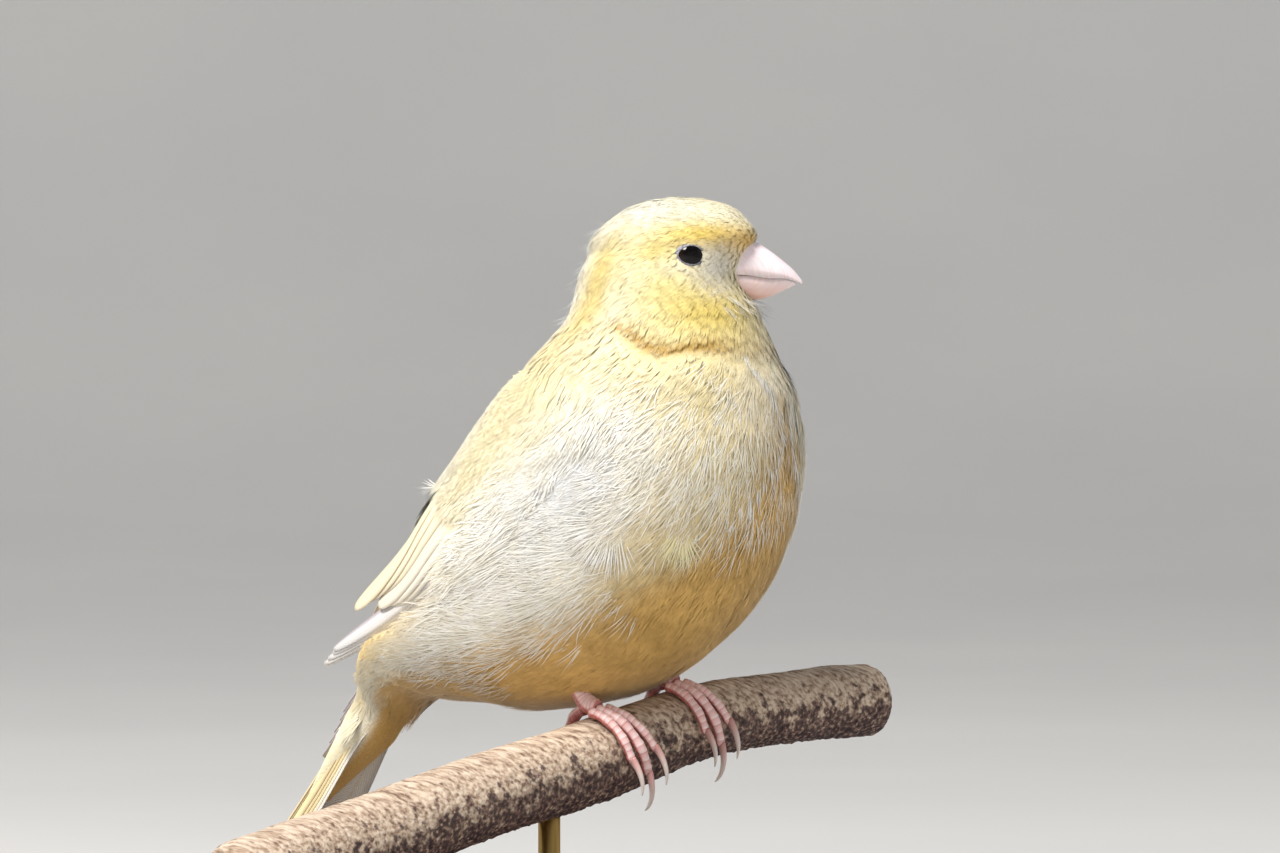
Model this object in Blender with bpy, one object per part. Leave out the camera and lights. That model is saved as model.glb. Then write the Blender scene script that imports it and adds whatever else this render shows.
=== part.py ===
"""A life-size canary perched on a cut branch, held over a plain wooden base by two rods.

The bird's body faces +X, its left side is +Y and +Z is up. The origin is the centre of the base's underside.
Sizes are given in millimetres and multiplied by MM where a mesh is made, because Blender works in metres.
"""

import math
import random

import bmesh
import bpy
import numpy as np
from mathutils import Matrix, Vector

MM = 0.001
GAP = 0.3
CUT_GAP = 0.4
WING_GAP = 0.7
TAIL_GAP = 0.5
RIGHT, LEFT = -1, 1
SIDES = (RIGHT, LEFT)
SIDE_NAMES = {RIGHT: "right", LEFT: "left"}
SOLVER = "MANIFOLD"
UP = Vector((0, 0, 1))

# The point on the branch's axis midway between the feet. The bird and branch are measured from it.
PERCH_POINT = Vector((8.0, 6.0, 44.0))

# Body stations from the tail's root to the nape: the back's and the belly's points in the bird's middle
# plane (x, z), the half width, and how far down the side the widest line runs (0 back, 1 belly).
BODY_STATIONS = (
    ((-50.5, 8.5), (-42.0, 1.8), 6.2, 0.45),
    ((-49.0, 14.0), (-35.8, 6.2), 11.5, 0.45),
    ((-46.0, 20.5), (-26.5, 5.6), 16.6, 0.45),
    ((-41.6, 27.0), (-13.5, 5.0), 20.8, 0.45),
    ((-36.6, 33.5), (0.5, 8.0), 23.4, 0.45),
    ((-31.4, 40.0), (13.0, 15.5), 24.8, 0.45),
    ((-26.0, 46.5), (22.5, 27.5), 25.0, 0.47),
    ((-20.8, 53.0), (26.6, 41.5), 23.4, 0.50),
    ((-16.2, 59.5), (25.8, 53.0), 20.2, 0.50),
    ((-11.4, 64.6), (22.8, 60.2), 16.2, 0.50),
)
# Head stations above them: height, reach behind and before the neck's axis, half width, widest line.
HEAD_STATIONS = (
    (67.2, 14.7, 14.6, 13.4, 0.52),
    (71.8, 13.4, 12.2, 11.6, 0.52),
    (75.6, 12.0, 12.8, 10.4, 0.50),
    (78.6, 11.1, 14.3, 9.7, 0.48),
    (81.2, 8.5, 12.8, 8.0, 0.45),
    (83.2, 5.3, 10.4, 5.4, 0.42),
    (84.3, 1.8, 6.8, 2.6, 0.40),
)
NECK_AXIS_X = 5.0
HEAD_YAW = math.radians(25)
TWIST_FROM, TWIST_TO = 54.0, 71.0
CROWN_RISE = 0.4

RING_SIDES = 32
PARTING = 0.032
# Where the body is parted, counted in stations, and how many rings each length has.
BODY_PARTS = (
    ("rump", 0.0, 1.7, 5),
    ("torso", 1.7, 8.1, 18),
    ("neck", 8.1, 10.3, 6),
    ("head", 10.3, 16.0, 12),
)

# Bill profiles in the head's own frame: reach before the neck's axis, top, bottom and half width.
UPPER_BILL = (
    (10.4, 78.3, 72.75, 4.0),
    (12.6, 78.1, 72.75, 3.7),
    (14.6, 77.4, 72.5, 3.2),
    (16.6, 76.1, 72.25, 2.55),
    (18.4, 74.7, 72.3, 1.8),
    (20.0, 73.3, 71.95, 1.0),
    (21.3, 71.7, 71.3, 0.25),
)
LOWER_BILL = (
    (10.4, 72.4, 69.2, 3.7),
    (12.6, 72.4, 68.9, 3.4),
    (14.6, 72.15, 68.8, 2.9),
    (16.6, 71.9, 69.35, 2.2),
    (18.4, 71.95, 70.2, 1.4),
    (20.2, 71.5, 71.0, 0.5),
)
NOSTRIL_AT = (13.9, 3.0, 75.9)
NOSTRIL_SIZE = (0.75, 0.8, 0.45)

EYE_AT = (4.9, 75.4)
EYE_RADIUS = 2.5
EYE_DEPTH = 1.9
EYE_TIP = 0.08
LID_RADIUS, LID_THICKNESS = 2.35, 0.5

# A folded wing follows the body as far as STRAIGHT_FROM of its length, and its long feathers run straight on
# from there to the tip. Its rows run from the bend: the station and angle of its upper edge, those of its
# lower edge, and how far its face stands over the body there.
WING_ROWS = {
    RIGHT: (
        (7.9, 48, 7.4, 92, 0.2),
        (7.1, 24, 6.4, 90, 0.8),
        (5.9, 12, 5.2, 87, 0.6),
        (4.5, 8, 4.0, 80, 0.3),
    ),
    LEFT: (
        (7.7, 48, 7.2, 92, 0.2),
        (6.9, 22, 6.2, 88, 0.8),
        (5.7, 6, 5.0, 79, 0.6),
        (4.3, -2, 3.8, 64, 0.3),
    ),
}
STRAIGHT_FROM = 0.58
WING_TIP = {RIGHT: (-55.2, -6.1, 12.0), LEFT: (-63.4, 2.3, -5.0)}
# Which way a wing's face looks at its tip, and how broad the wing is there.
TIP_FACING = {RIGHT: (-0.60, -0.48, 0.64), LEFT: (-0.78, 0.12, 0.62)}
TIP_WIDTH, TIP_ACROSS = 7.0, 0.76
# How far the long feathers bow outwards on their way to the tip.
TIP_BULGE = {RIGHT: -0.8, LEFT: 4.4}
TIP_FACE = 2.6
# Where the plumage gives way to the wing: its depth, where along the body it fades in and out, how soft its
# edges are, and the angles of its upper and lower edges at some stations.
BED_DEPTH = 4.6
BED_STATIONS = (0.5, 2.6, 7.6, 8.3)
BED_EDGE = 11.0
BED_UPPER = ((3.6, 2), (4.6, 10), (5.8, 20), (7.1, 32), (7.9, 50))
BED_LOWER = ((0.5, 52), (2.0, 66), (3.2, 78), (4.2, 85), (5.2, 90), (7.4, 95))
WING_CORE = (-2.9, 0.1)
WING_CORE_END, WING_CORE_RINGS = 0.56, 9

# Feather groups of a wing, top layer first. Each row: how many, where the first and last are rooted and end
# (along, across, as shares of the wing), their widths, how high their faces lie, and whether a shaft shows.
WING_GROUPS = (
    # Median coverts
    (5, ((0.04, 0.12), (0.04, 0.84)), ((0.25, 0.11), (0.21, 0.80)), (8.0, 6.4), (1.0, 0.0), 0),
    # Greater coverts
    (5, ((0.16, 0.12), (0.13, 0.80)), ((0.43, 0.10), (0.37, 0.76)), (8.4, 6.8), (0.4, -0.7), 0),
    # Tertials
    (3, ((0.32, 0.13), (0.30, 0.42)), ((0.81, 0.60), (0.75, 0.62)), (8.4, 7.4), (-0.3, -0.9), 1),
    # Secondaries
    (3, ((0.28, 0.52), (0.26, 0.74)), ((0.79, 0.66), (0.72, 0.74)), (7.2, 6.0), (-1.1, -1.7), 1),
    # Primary coverts
    (2, ((0.08, 0.86), (0.06, 0.96)), ((0.38, 0.86), (0.33, 0.94)), (4.6, 4.0), (-1.0, -1.35), 0),
    # Primaries
    (5, ((0.26, 0.76), (0.20, 0.90)), ((0.86, 0.66), (1.0, 0.76)), (5.8, 4.6), (-1.9, -3.1), 1),
)
VANE_THICKNESS = 0.55
SHAFT_RISE = 0.14
ROOT_SINK = 0.9
# A covert's outline and a long feather's: share of its length, share of its width.
COVERT_OUTLINE = ((0.0, 0.5), (0.35, 0.92), (0.72, 1.0), (0.92, 0.72), (0.985, 0.34))
QUILL_OUTLINE = (
    (0.0, 0.5),
    (0.15, 0.75),
    (0.3, 0.9),
    (0.45, 0.96),
    (0.6, 1.0),
    (0.75, 0.98),
    (0.88, 0.82),
    (0.98, 0.36),
)

# The tail is folded and roofed: its two sides slope down from a ridge.
TAIL_ROOT = (-48.2, 6.7)
TAIL_PITCH = math.radians(53)
TAIL_LENGTH = 48.0
TAIL_SLOPE = math.radians(50)
TAIL_RIDGE_RADIUS = 4.4
TAIL_SIDE_WIDTH = (7.6, 10.8)
TAIL_FEATHERS_A_SIDE = 4
TAIL_FEATHER_WIDTH = 6.6
TAIL_STEP = 0.36
TAIL_MIDDLE_WIDTH, TAIL_MIDDLE_THICKNESS = 6.8, 0.8
TAIL_NOTCH = 3.0
TAIL_COVERTS_A_SIDE = 2
TAIL_COVERT_LENGTH, TAIL_COVERT_WIDTH = 21.0, 5.4
TAIL_COVERT_HEIGHT, TAIL_COVERT_STEP = 0.6, 0.45
# How much lower the left side lies.
TAIL_SHIFT = {RIGHT: 0.0, LEFT: -0.18}
# The root that the tail's feathers grow from: share of its length, half width, bottom and top.
TAIL_CORE = (
    (0.0, 0.96, -4.1, 0.3),
    (0.08, 0.96, -4.0, 0.1),
    (0.18, 0.84, -3.5, -0.5),
    (0.30, 0.62, -2.5, -1.1),
)

# The branch: distance along its plan direction from between the feet, height and radius.
BRANCH_HEADING = math.radians(72)
BRANCH = (
    (-79.0, -18.2, 7.1),
    (-66.0, -14.9, 6.9),
    (-52.0, -11.8, 6.8),
    (-39.0, -8.8, 6.8),
    (-27.0, -6.0, 6.7),
    (-16.0, -3.9, 6.7),
    (-8.0, -2.0, 6.8),
    (0.0, 0.0, 6.6),
    (9.0, 2.1, 6.3),
    (18.0, 3.5, 6.2),
    (29.0, 4.4, 6.0),
    (40.0, 5.0, 6.1),
    (50.0, 5.2, 6.2),
)
BRANCH_SIDES = 13

# Feet: where each pad lies along the branch, and each toe by its shift along the branch at root and tip,
# the angles over the branch from its crest where it starts and ends (front positive), and its thickness.
FOOT_ALONG = {RIGHT: -7.6, LEFT: 8.2}
TOES = (
    ("inner", 1.5, 4.6, 14, 88, 1.7),
    ("middle", 0.0, 2.6, 12, 112, 1.9),
    ("outer", -1.2, -0.4, 10, 92, 1.7),
    ("hind", 0.3, 0.9, -14, -84, 2.0),
)
TOE_RINGS, TOE_KNUCKLES = 10, 3
TARSUS_TOP = {RIGHT: (-9.0, -9.5, 12.5), LEFT: (-7.5, 11.0, 12.5)}
TARSUS_RADIUS = 1.1
CLAW_RADIUS, CLAW_RINGS, CLAW_GAP, CLAW_LIFT = 0.6, 5, 0.65, 2.3
CLAW_LENGTH = {"inner": 5.0, "middle": 6.0, "outer": 4.6, "hind": 6.6}

# Knots on the branch: where along it, the angle over its crest in radians, and how far they swell.
KNOTS = ((-44.0, 1.0, 0.10), (-60.0, 4.2, 0.08), (31.0, 2.2, 0.10), (42.0, 5.6, 0.07))
BRANCH_RINGS = 20

# The stand: a round wooden base, and two rods up to the branch.
BASE_RADIUS, BASE_HEIGHT, BASE_EDGE, BASE_SIDES = 56.0, 9.0, 2.2, 48
ROD_RADIUS = 1.7
ROD_ALONG = (-56.0, -18.0)
ROD_SINK = 2.5


def material(name, colour, roughness, metallic=0.0):
    made = bpy.data.materials.new(name)
    made.use_nodes = True
    shader = made.node_tree.nodes["Principled BSDF"]
    shader.inputs["Base Color"].default_value = (*colour, 1.0)
    shader.inputs["Roughness"].default_value = roughness
    shader.inputs["Metallic"].default_value = metallic
    made.diffuse_color = (*colour, 1.0)
    return made


def spline(rows, at):
    """A smooth curve through rows of numbers, which stand at 0, 1, 2 and so on."""
    rows = np.asarray(rows, float)
    last = len(rows) - 1
    i = int(min(max(math.floor(at), 0), last - 1))
    t = at - i
    before = rows[i - 1] if i > 0 else 2 * rows[0] - rows[1]
    after = rows[i + 2] if i + 2 <= last else 2 * rows[last] - rows[last - 1]
    a, b = rows[i], rows[i + 1]
    return (
        a
        + 0.5 * t * (b - before)
        + t * t * (before - 2.5 * a + 2 * b - 0.5 * after)
        + t * t * t * (1.5 * (a - b) + 0.5 * (after - before))
    )


def smooth_step(x, low, high):
    t = min(max((x - low) / (high - low), 0.0), 1.0)
    return t * t * (3 - 2 * t)


def new_object(name, bm, skin, collection=None):
    """An object from a bmesh that was built in millimetres, with its faces turned outwards."""
    bmesh.ops.recalc_face_normals(bm, faces=bm.faces)
    bmesh.ops.scale(bm, vec=(MM, MM, MM), verts=bm.verts)
    mesh = bpy.data.meshes.new(name)
    bm.to_mesh(mesh)
    bm.free()
    mesh.materials.append(skin)
    made = bpy.data.objects.new(name, mesh)
    (collection or PARTS).objects.link(made)
    return made


def loft(bm, rings, tip=None, root=None):
    """Skins rings of equal count and closes both ends, with a pole where one is given."""
    loops = [[bm.verts.new(p) for p in ring] for ring in rings]
    for a, b in zip(loops, loops[1:]):
        for i in range(len(a)):
            j = (i + 1) % len(a)
            bm.faces.new((a[i], a[j], b[j], b[i]))
    for loop, pole in ((loops[0], root), (loops[-1], tip)):
        if pole is None:
            bm.faces.new(loop)
        else:
            top = bm.verts.new(pole)
            for i in range(len(loop)):
                bm.faces.new((loop[i], loop[(i + 1) % len(loop)], top))


def evaluated_mesh(obj):
    graph = bpy.context.evaluated_depsgraph_get()
    return bpy.data.meshes.new_from_object(obj.evaluated_get(graph))


def keep_largest(mesh):
    """Keeps the largest closed surface of a mesh, by the room that it encloses."""
    bm = bmesh.new()
    bm.from_mesh(mesh)
    bmesh.ops.triangulate(bm, faces=bm.faces)
    unseen = set(bm.verts)
    shells = []
    while unseen:
        front = [unseen.pop()]
        shell = list(front)
        while front:
            vert = front.pop()
            for edge in vert.link_edges:
                other = edge.other_vert(vert)
                if other in unseen:
                    unseen.remove(other)
                    front.append(other)
                    shell.append(other)
        faces = {face for vert in shell for face in vert.link_faces}
        room = sum(
            f.verts[0].co.dot(f.verts[1].co.cross(f.verts[2].co)) for f in faces
        )
        shells.append((room, shell))
    shells.sort(key=lambda found: found[0])
    scraps = [vert for _, shell in shells[:-1] for vert in shell]
    bmesh.ops.delete(bm, geom=scraps, context="VERTS")
    bm.to_mesh(mesh)
    bm.free()


def combine(body, others, operation):
    """Joins others to body, or cuts them from it, in one Boolean that is applied. The others are removed."""
    group = bpy.data.collections.new("operands")
    bpy.context.scene.collection.children.link(group)
    for other in others:
        for owner in list(other.users_collection):
            owner.objects.unlink(other)
        group.objects.link(other)
    boolean = body.modifiers.new(operation.title(), "BOOLEAN")
    boolean.operation = operation
    boolean.operand_type = "COLLECTION"
    boolean.collection = group
    boolean.solver = SOLVER
    mesh = evaluated_mesh(body)
    body.modifiers.clear()
    old = body.data
    mesh.name = old.name
    body.data = mesh
    bpy.data.meshes.remove(old)
    for other in others:
        bpy.data.objects.remove(other)
    bpy.data.collections.remove(group)
    keep_largest(mesh)


# Body surface


def station_rows():
    """Every station as back x and z, front x and z, half width, widest line and share of the head's turn."""
    rows = []
    for (back_x, back_z), (front_x, front_z), half_width, widest in BODY_STATIONS:
        turn = smooth_step((back_z + front_z) / 2, TWIST_FROM, TWIST_TO)
        rows.append((back_x, back_z, front_x, front_z, half_width, widest, turn))
    for height, behind, before, half_width, widest in HEAD_STATIONS:
        turn = smooth_step(height, TWIST_FROM, TWIST_TO)
        back_x, front_x = NECK_AXIS_X - behind, NECK_AXIS_X + before
        rows.append((back_x, height, front_x, height, half_width, widest, turn))
    return rows


STATIONS = station_rows()
LAST_STATION = len(STATIONS) - 1


def turned(point, share=1.0):
    """A point of the unturned head, carried round the neck's axis by a share of the head's turn."""
    pivot = Vector((NECK_AXIS_X, 0, 0))
    return pivot + Matrix.Rotation(HEAD_YAW * share, 3, "Z") @ (point - pivot)


def skin_point(station, angle, grow=0.0):
    """A point on the plumage. Angle is 0 on the back, 180 on the belly and positive on the left side."""
    row = spline(STATIONS, station)
    back = Vector((row[0], 0, row[1]))
    front = Vector((row[2], 0, row[3]))
    centre = back.lerp(front, row[5])
    c, s = math.cos(math.radians(angle)), math.sin(math.radians(angle))
    arm = (back - centre) if c > 0 else (front - centre)
    arm = arm + arm.normalized() * grow
    across = Vector((0, row[4] + grow, 0))
    return PERCH_POINT + turned(centre + arm * abs(c) + across * s, row[6])


def off_skin(station, angle, out):
    """A point that stands out from the plumage by a distance, along its normal."""
    step = 0.02
    here = skin_point(station, angle)
    along = skin_point(station + step, angle) - skin_point(station - step, angle)
    round_it = skin_point(station, angle + 1) - skin_point(station, angle - 1)
    return here + along.cross(round_it).normalized() * out


def bed_depth(station, angle):
    """How deep the plumage gives way under a folded wing."""
    angle = abs((angle + 180) % 360 - 180)
    upper = np.interp(station, *zip(*BED_UPPER))
    lower = np.interp(station, *zip(*BED_LOWER))
    low_in, low_full, high_full, high_out = BED_STATIONS
    lengthwise = smooth_step(station, low_in, low_full) - smooth_step(station, high_full, high_out)
    # Over the rump the two beds meet, because the wings' tips close over it.
    above = smooth_step(angle, upper - BED_EDGE, upper) if upper > 0 else 1
    return BED_DEPTH * lengthwise * (above - smooth_step(angle, lower, lower + BED_EDGE))


def body_ring(station, grow=0.0):
    ring = []
    for i in range(RING_SIDES):
        angle = 360 * i / RING_SIDES
        ring.append(skin_point(station, angle, grow - bed_depth(station, angle)))
    return ring


def crown(grow=0.0):
    row = spline(STATIONS, LAST_STATION)
    top = Vector(((row[0] + row[2]) / 2, 0, row[1] + CROWN_RISE + grow))
    return PERCH_POINT + turned(top)


def ring_spots(name):
    """Where along the stations the rings of one length of the body lie, with its partings taken off."""
    name, low, high, rings = next(part for part in BODY_PARTS if part[0] == name)
    start = low + (PARTING if low > 0 else 0)
    end = high - (PARTING if high < LAST_STATION else 0)
    return np.linspace(start, end, rings)


def grown_body(names, grow=CUT_GAP):
    """Lengths of the body in one piece, swollen by the gap that its neighbours keep."""
    spots = sorted(spot for name in names for spot in ring_spots(name))
    bm = bmesh.new()
    tip = crown(grow) if spots[-1] >= LAST_STATION else None
    loft(bm, [body_ring(spot, grow) for spot in spots], tip=tip)
    return new_object("cutter", bm, PLUMAGE)


def make_body():
    made = {}
    for name, _, high, _ in BODY_PARTS:
        bm = bmesh.new()
        tip = crown() if high >= LAST_STATION else None
        loft(bm, [body_ring(spot) for spot in ring_spots(name)], tip=tip)
        made[name] = new_object(name, bm, PLUMAGE)
    return made


# Bill


def bill_ring(reach, top, bottom, half_width, flat_side):
    """A half-round section of the bill: flat on the side where the two halves of the bill meet."""
    height = top - bottom
    points = []
    sides = 7
    for i in range(sides):
        angle = math.pi * i / (sides - 1)
        across = half_width * math.cos(angle)
        share = math.sin(angle) ** 0.85 if 0 < i < sides - 1 else 0.0
        z = bottom + height * share if flat_side == "bottom" else top - height * share
        points.append(PERCH_POINT + turned(Vector((NECK_AXIS_X + reach, across, z))))
    return points


def nostril(side):
    reach, across, height = NOSTRIL_AT
    bm = bmesh.new()
    bmesh.ops.create_uvsphere(bm, u_segments=8, v_segments=6, radius=1.0)
    bmesh.ops.scale(bm, vec=NOSTRIL_SIZE, verts=bm.verts)
    bmesh.ops.rotate(bm, verts=bm.verts, matrix=Matrix.Rotation(HEAD_YAW, 3, "Z"))
    place = PERCH_POINT + turned(Vector((NECK_AXIS_X + reach, side * across, height)))
    bmesh.ops.translate(bm, vec=place, verts=bm.verts)
    return new_object("nostril", bm, HORN)


def make_bill():
    for name, rows, flat_side in (
        ("bill_upper", UPPER_BILL, "bottom"),
        ("bill_lower", LOWER_BILL, "top"),
    ):
        bm = bmesh.new()
        spots = np.linspace(0, len(rows) - 1, 2 * len(rows) - 1)
        loft(bm, [bill_ring(*spline(rows, spot), flat_side) for spot in spots])
        half = new_object(name, bm, HORN)
        cutters = [grown_body(("neck", "head"))]
        if name == "bill_upper":
            cutters += [nostril(side) for side in SIDES]
        combine(half, cutters, "DIFFERENCE")


# Eyes and lids


def eye_frame(side):
    """Where an eye's centre lies, and the turn that sends +Z out of the side of the head."""
    reach, height = EYE_AT
    station = next(s for s in np.arange(10, LAST_STATION, 0.02) if spline(STATIONS, s)[1] >= height)
    row = spline(STATIONS, station)
    centre_x = row[0] + (row[2] - row[0]) * row[5]
    arm = row[2] - centre_x
    share = (NECK_AXIS_X + reach - centre_x) / arm
    half_width = row[4] * math.sqrt(1 - share * share)
    skin = Vector((NECK_AXIS_X + reach, side * half_width, height))
    normal = Vector((share / arm, side * math.sqrt(1 - share * share) / row[4], 0)).normalized()
    normal = (normal + UP * EYE_TIP).normalized()
    out = Matrix.Rotation(HEAD_YAW, 3, "Z") @ normal
    return PERCH_POINT + turned(skin - normal * EYE_DEPTH), UP.rotation_difference(out).to_matrix()


def eye_ball(side, grow, name, skin):
    centre, turn = eye_frame(side)
    bm = bmesh.new()
    bmesh.ops.create_uvsphere(bm, u_segments=12, v_segments=8, radius=EYE_RADIUS + grow)
    bmesh.ops.rotate(bm, verts=bm.verts, matrix=turn)
    bmesh.ops.translate(bm, vec=centre, verts=bm.verts)
    return new_object(name, bm, skin)


def lid(side):
    """A soft raised ring of bare skin round the eye."""
    centre, turn = eye_frame(side)
    bm = bmesh.new()
    steps, sides = 16, 6
    loops = []
    for i in range(steps):
        round_eye = 2 * math.pi * i / steps
        loop = []
        for j in range(sides):
            round_rim = 2 * math.pi * j / sides
            reach = LID_RADIUS + LID_THICKNESS * math.cos(round_rim)
            height = EYE_DEPTH + LID_THICKNESS * math.sin(round_rim)
            loop.append(bm.verts.new((reach * math.cos(round_eye), reach * math.sin(round_eye), height)))
        loops.append(loop)
    for a, b in zip(loops, loops[1:] + loops[:1]):
        for j in range(sides):
            k = (j + 1) % sides
            bm.faces.new((a[j], a[k], b[k], b[j]))
    bmesh.ops.rotate(bm, verts=bm.verts, matrix=turn)
    bmesh.ops.translate(bm, vec=centre, verts=bm.verts)
    return new_object("lid", bm, PLUMAGE)


def make_eyes(head):
    combine(head, [lid(side) for side in SIDES], "UNION")
    combine(head, [eye_ball(side, GAP, "socket", PLUMAGE) for side in SIDES], "DIFFERENCE")
    for side in SIDES:
        eye_ball(side, 0.0, "eye_" + SIDE_NAMES[side], EYE_BLACK)


# Feathers


def vane(sheet, start, end, width, height, rise, thickness=VANE_THICKNESS):
    """One feather: a thin vane that lies in a sheet, from its sunk root to its tip.

    The sheet takes a share along, a share across and a height in mm. Start and end are given in its shares,
    and rise is how far the shaft stands up. Both faces are split into triangles alike.
    """
    start, end = Vector(start), Vector(end)
    bm = bmesh.new()
    rings = []
    for share, breadth in QUILL_OUTLINE if rise else COVERT_OUTLINE:
        along, across = start.lerp(end, share)
        scale = (sheet(along, across + 0.02, 0) - sheet(along, across - 0.02, 0)).length / 0.04
        half = 0.5 * width * breadth / scale
        top = height - (ROOT_SINK if share == 0 else 0)
        upper = [sheet(along, across + edge * half, top + rise * (edge == 0)) for edge in (-1, 0, 1)]
        lower = [sheet(along, across + edge * half, top - thickness) for edge in (-1, 0, 1)]
        rings.append([[bm.verts.new(point) for point in row] for row in (upper, lower)])
    for near, far in zip(rings, rings[1:]):
        for here, beyond in zip(near, far):
            for edge in (0, 2):
                bm.faces.new((here[1], beyond[edge], here[edge]))
                bm.faces.new((here[1], beyond[1], beyond[edge]))
        for edge in (0, 2):
            bm.faces.new((near[0][edge], far[0][edge], far[1][edge], near[1][edge]))
    for upper, lower in (rings[0], rings[-1]):
        bm.faces.new((*upper, *reversed(lower)))
    return new_object("vane", bm, FEATHER)


def wing_sheet(side):
    rows = WING_ROWS[side]

    def on_body(along, across, height):
        high, high_angle, low, low_angle, face = spline(rows, along / STRAIGHT_FROM * (len(rows) - 1))
        station = high + (low - high) * across
        angle = high_angle + (low_angle - high_angle) * across
        return off_skin(station, side * angle, face + height)

    middle = on_body(STRAIGHT_FROM, TIP_ACROSS, 0)
    facing = Vector(TIP_FACING[side]).normalized()
    tip = PERCH_POINT + Vector(WING_TIP[side])
    crosswise = facing.cross(tip - middle).normalized() * side

    def sheet(along, across, height):
        if along <= STRAIGHT_FROM:
            return on_body(along, across, height)
        start = on_body(STRAIGHT_FROM, across, height)
        lead = (start - on_body(STRAIGHT_FROM - 0.04, across, height)) / 0.04
        rest = 1 - STRAIGHT_FROM
        end = tip + crosswise * (across - TIP_ACROSS) * TIP_WIDTH + facing * (height + TIP_FACE)
        share = (along - STRAIGHT_FROM) / rest
        bend = start + lead * rest * 0.3 + facing * TIP_BULGE[side]
        return start.lerp(bend, share).lerp(bend.lerp(end, share), share)

    return sheet


def wing_core(sheet, name):
    """The wing's body, from the bend to where the covert feathers end. It thins towards both."""
    bottom, top = WING_CORE
    middle = (bottom + top) / 2
    rings = []
    for along in np.linspace(0.0, WING_CORE_END, WING_CORE_RINGS):
        share = along / WING_CORE_END
        fat = min(1.0, math.sqrt(0.08 + share / 0.2)) * (1 - 0.55 * smooth_step(share, 0.7, 1.0))
        upper, lower = [], []
        for spread in np.linspace(-0.45, 0.45, 6):
            edge = math.sqrt(1 - (abs(spread) / 0.5) ** 4)
            across = 0.51 + spread * min(1.0, 0.62 + 2.6 * share)
            fall = 0.7 * smooth_step(share, 0.5, 1.0)
            upper.append(sheet(along, across, middle - fall + ((top - middle) * edge - 0.7 * across) * fat))
            lower.append(sheet(along, across, middle - fall + (bottom - middle) * edge * fat))
        rings.append(upper + lower[::-1])
    bm = bmesh.new()
    loft(bm, rings)
    return new_object(name, bm, FEATHER)


def between(pair, share):
    first, last = pair
    return tuple(a + (b - a) * share for a, b in zip(first, last))


def make_wing(side):
    draw = random.Random(7 + side)
    sheet = wing_sheet(side)
    wing = wing_core(sheet, "wing_" + SIDE_NAMES[side])
    vanes = []
    for count, roots, tips, widths, heights, ridged in WING_GROUPS:
        for i in range(count):
            share = i / (count - 1)
            width = (widths[0] + (widths[1] - widths[0]) * share) * draw.uniform(0.96, 1.04)
            height = heights[0] + (heights[1] - heights[0]) * share + draw.uniform(-0.03, 0.03)
            ends = between(roots, share), between(tips, share)
            vanes.append(vane(sheet, *ends, width, height, SHAFT_RISE * ridged))
    combine(wing, vanes, "UNION")
    combine(wing, [grown_body(("rump", "torso", "neck"), WING_GAP)], "DIFFERENCE")
    return wing


def tail_sheet(along, across, height):
    """The folded tail's face: round over its ridge, straight down each side. Across is 1 at the left edge."""
    down = Vector((-math.cos(TAIL_PITCH), 0, -math.sin(TAIL_PITCH)))
    out = Vector((-math.sin(TAIL_PITCH), 0, math.cos(TAIL_PITCH)))
    at_root, at_tip = TAIL_SIDE_WIDTH
    reach = across * (at_root + (at_tip - at_root) * along)
    side = Vector((0, 1 if reach > 0 else -1, 0))
    bend = TAIL_RIDGE_RADIUS * TAIL_SLOPE
    turn = min(abs(reach) / TAIL_RIDGE_RADIUS, TAIL_SLOPE)
    straight = max(abs(reach) - bend, 0.0)
    point = side * TAIL_RIDGE_RADIUS * math.sin(turn) - out * TAIL_RIDGE_RADIUS * (1 - math.cos(turn))
    point += (side * math.cos(turn) - out * math.sin(turn)) * straight
    normal = out * math.cos(turn) + side * math.sin(turn)
    root = PERCH_POINT + Vector((TAIL_ROOT[0], 0, TAIL_ROOT[1])) + down * TAIL_GAP
    return root + down * (TAIL_LENGTH * along) + point + normal * height


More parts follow.
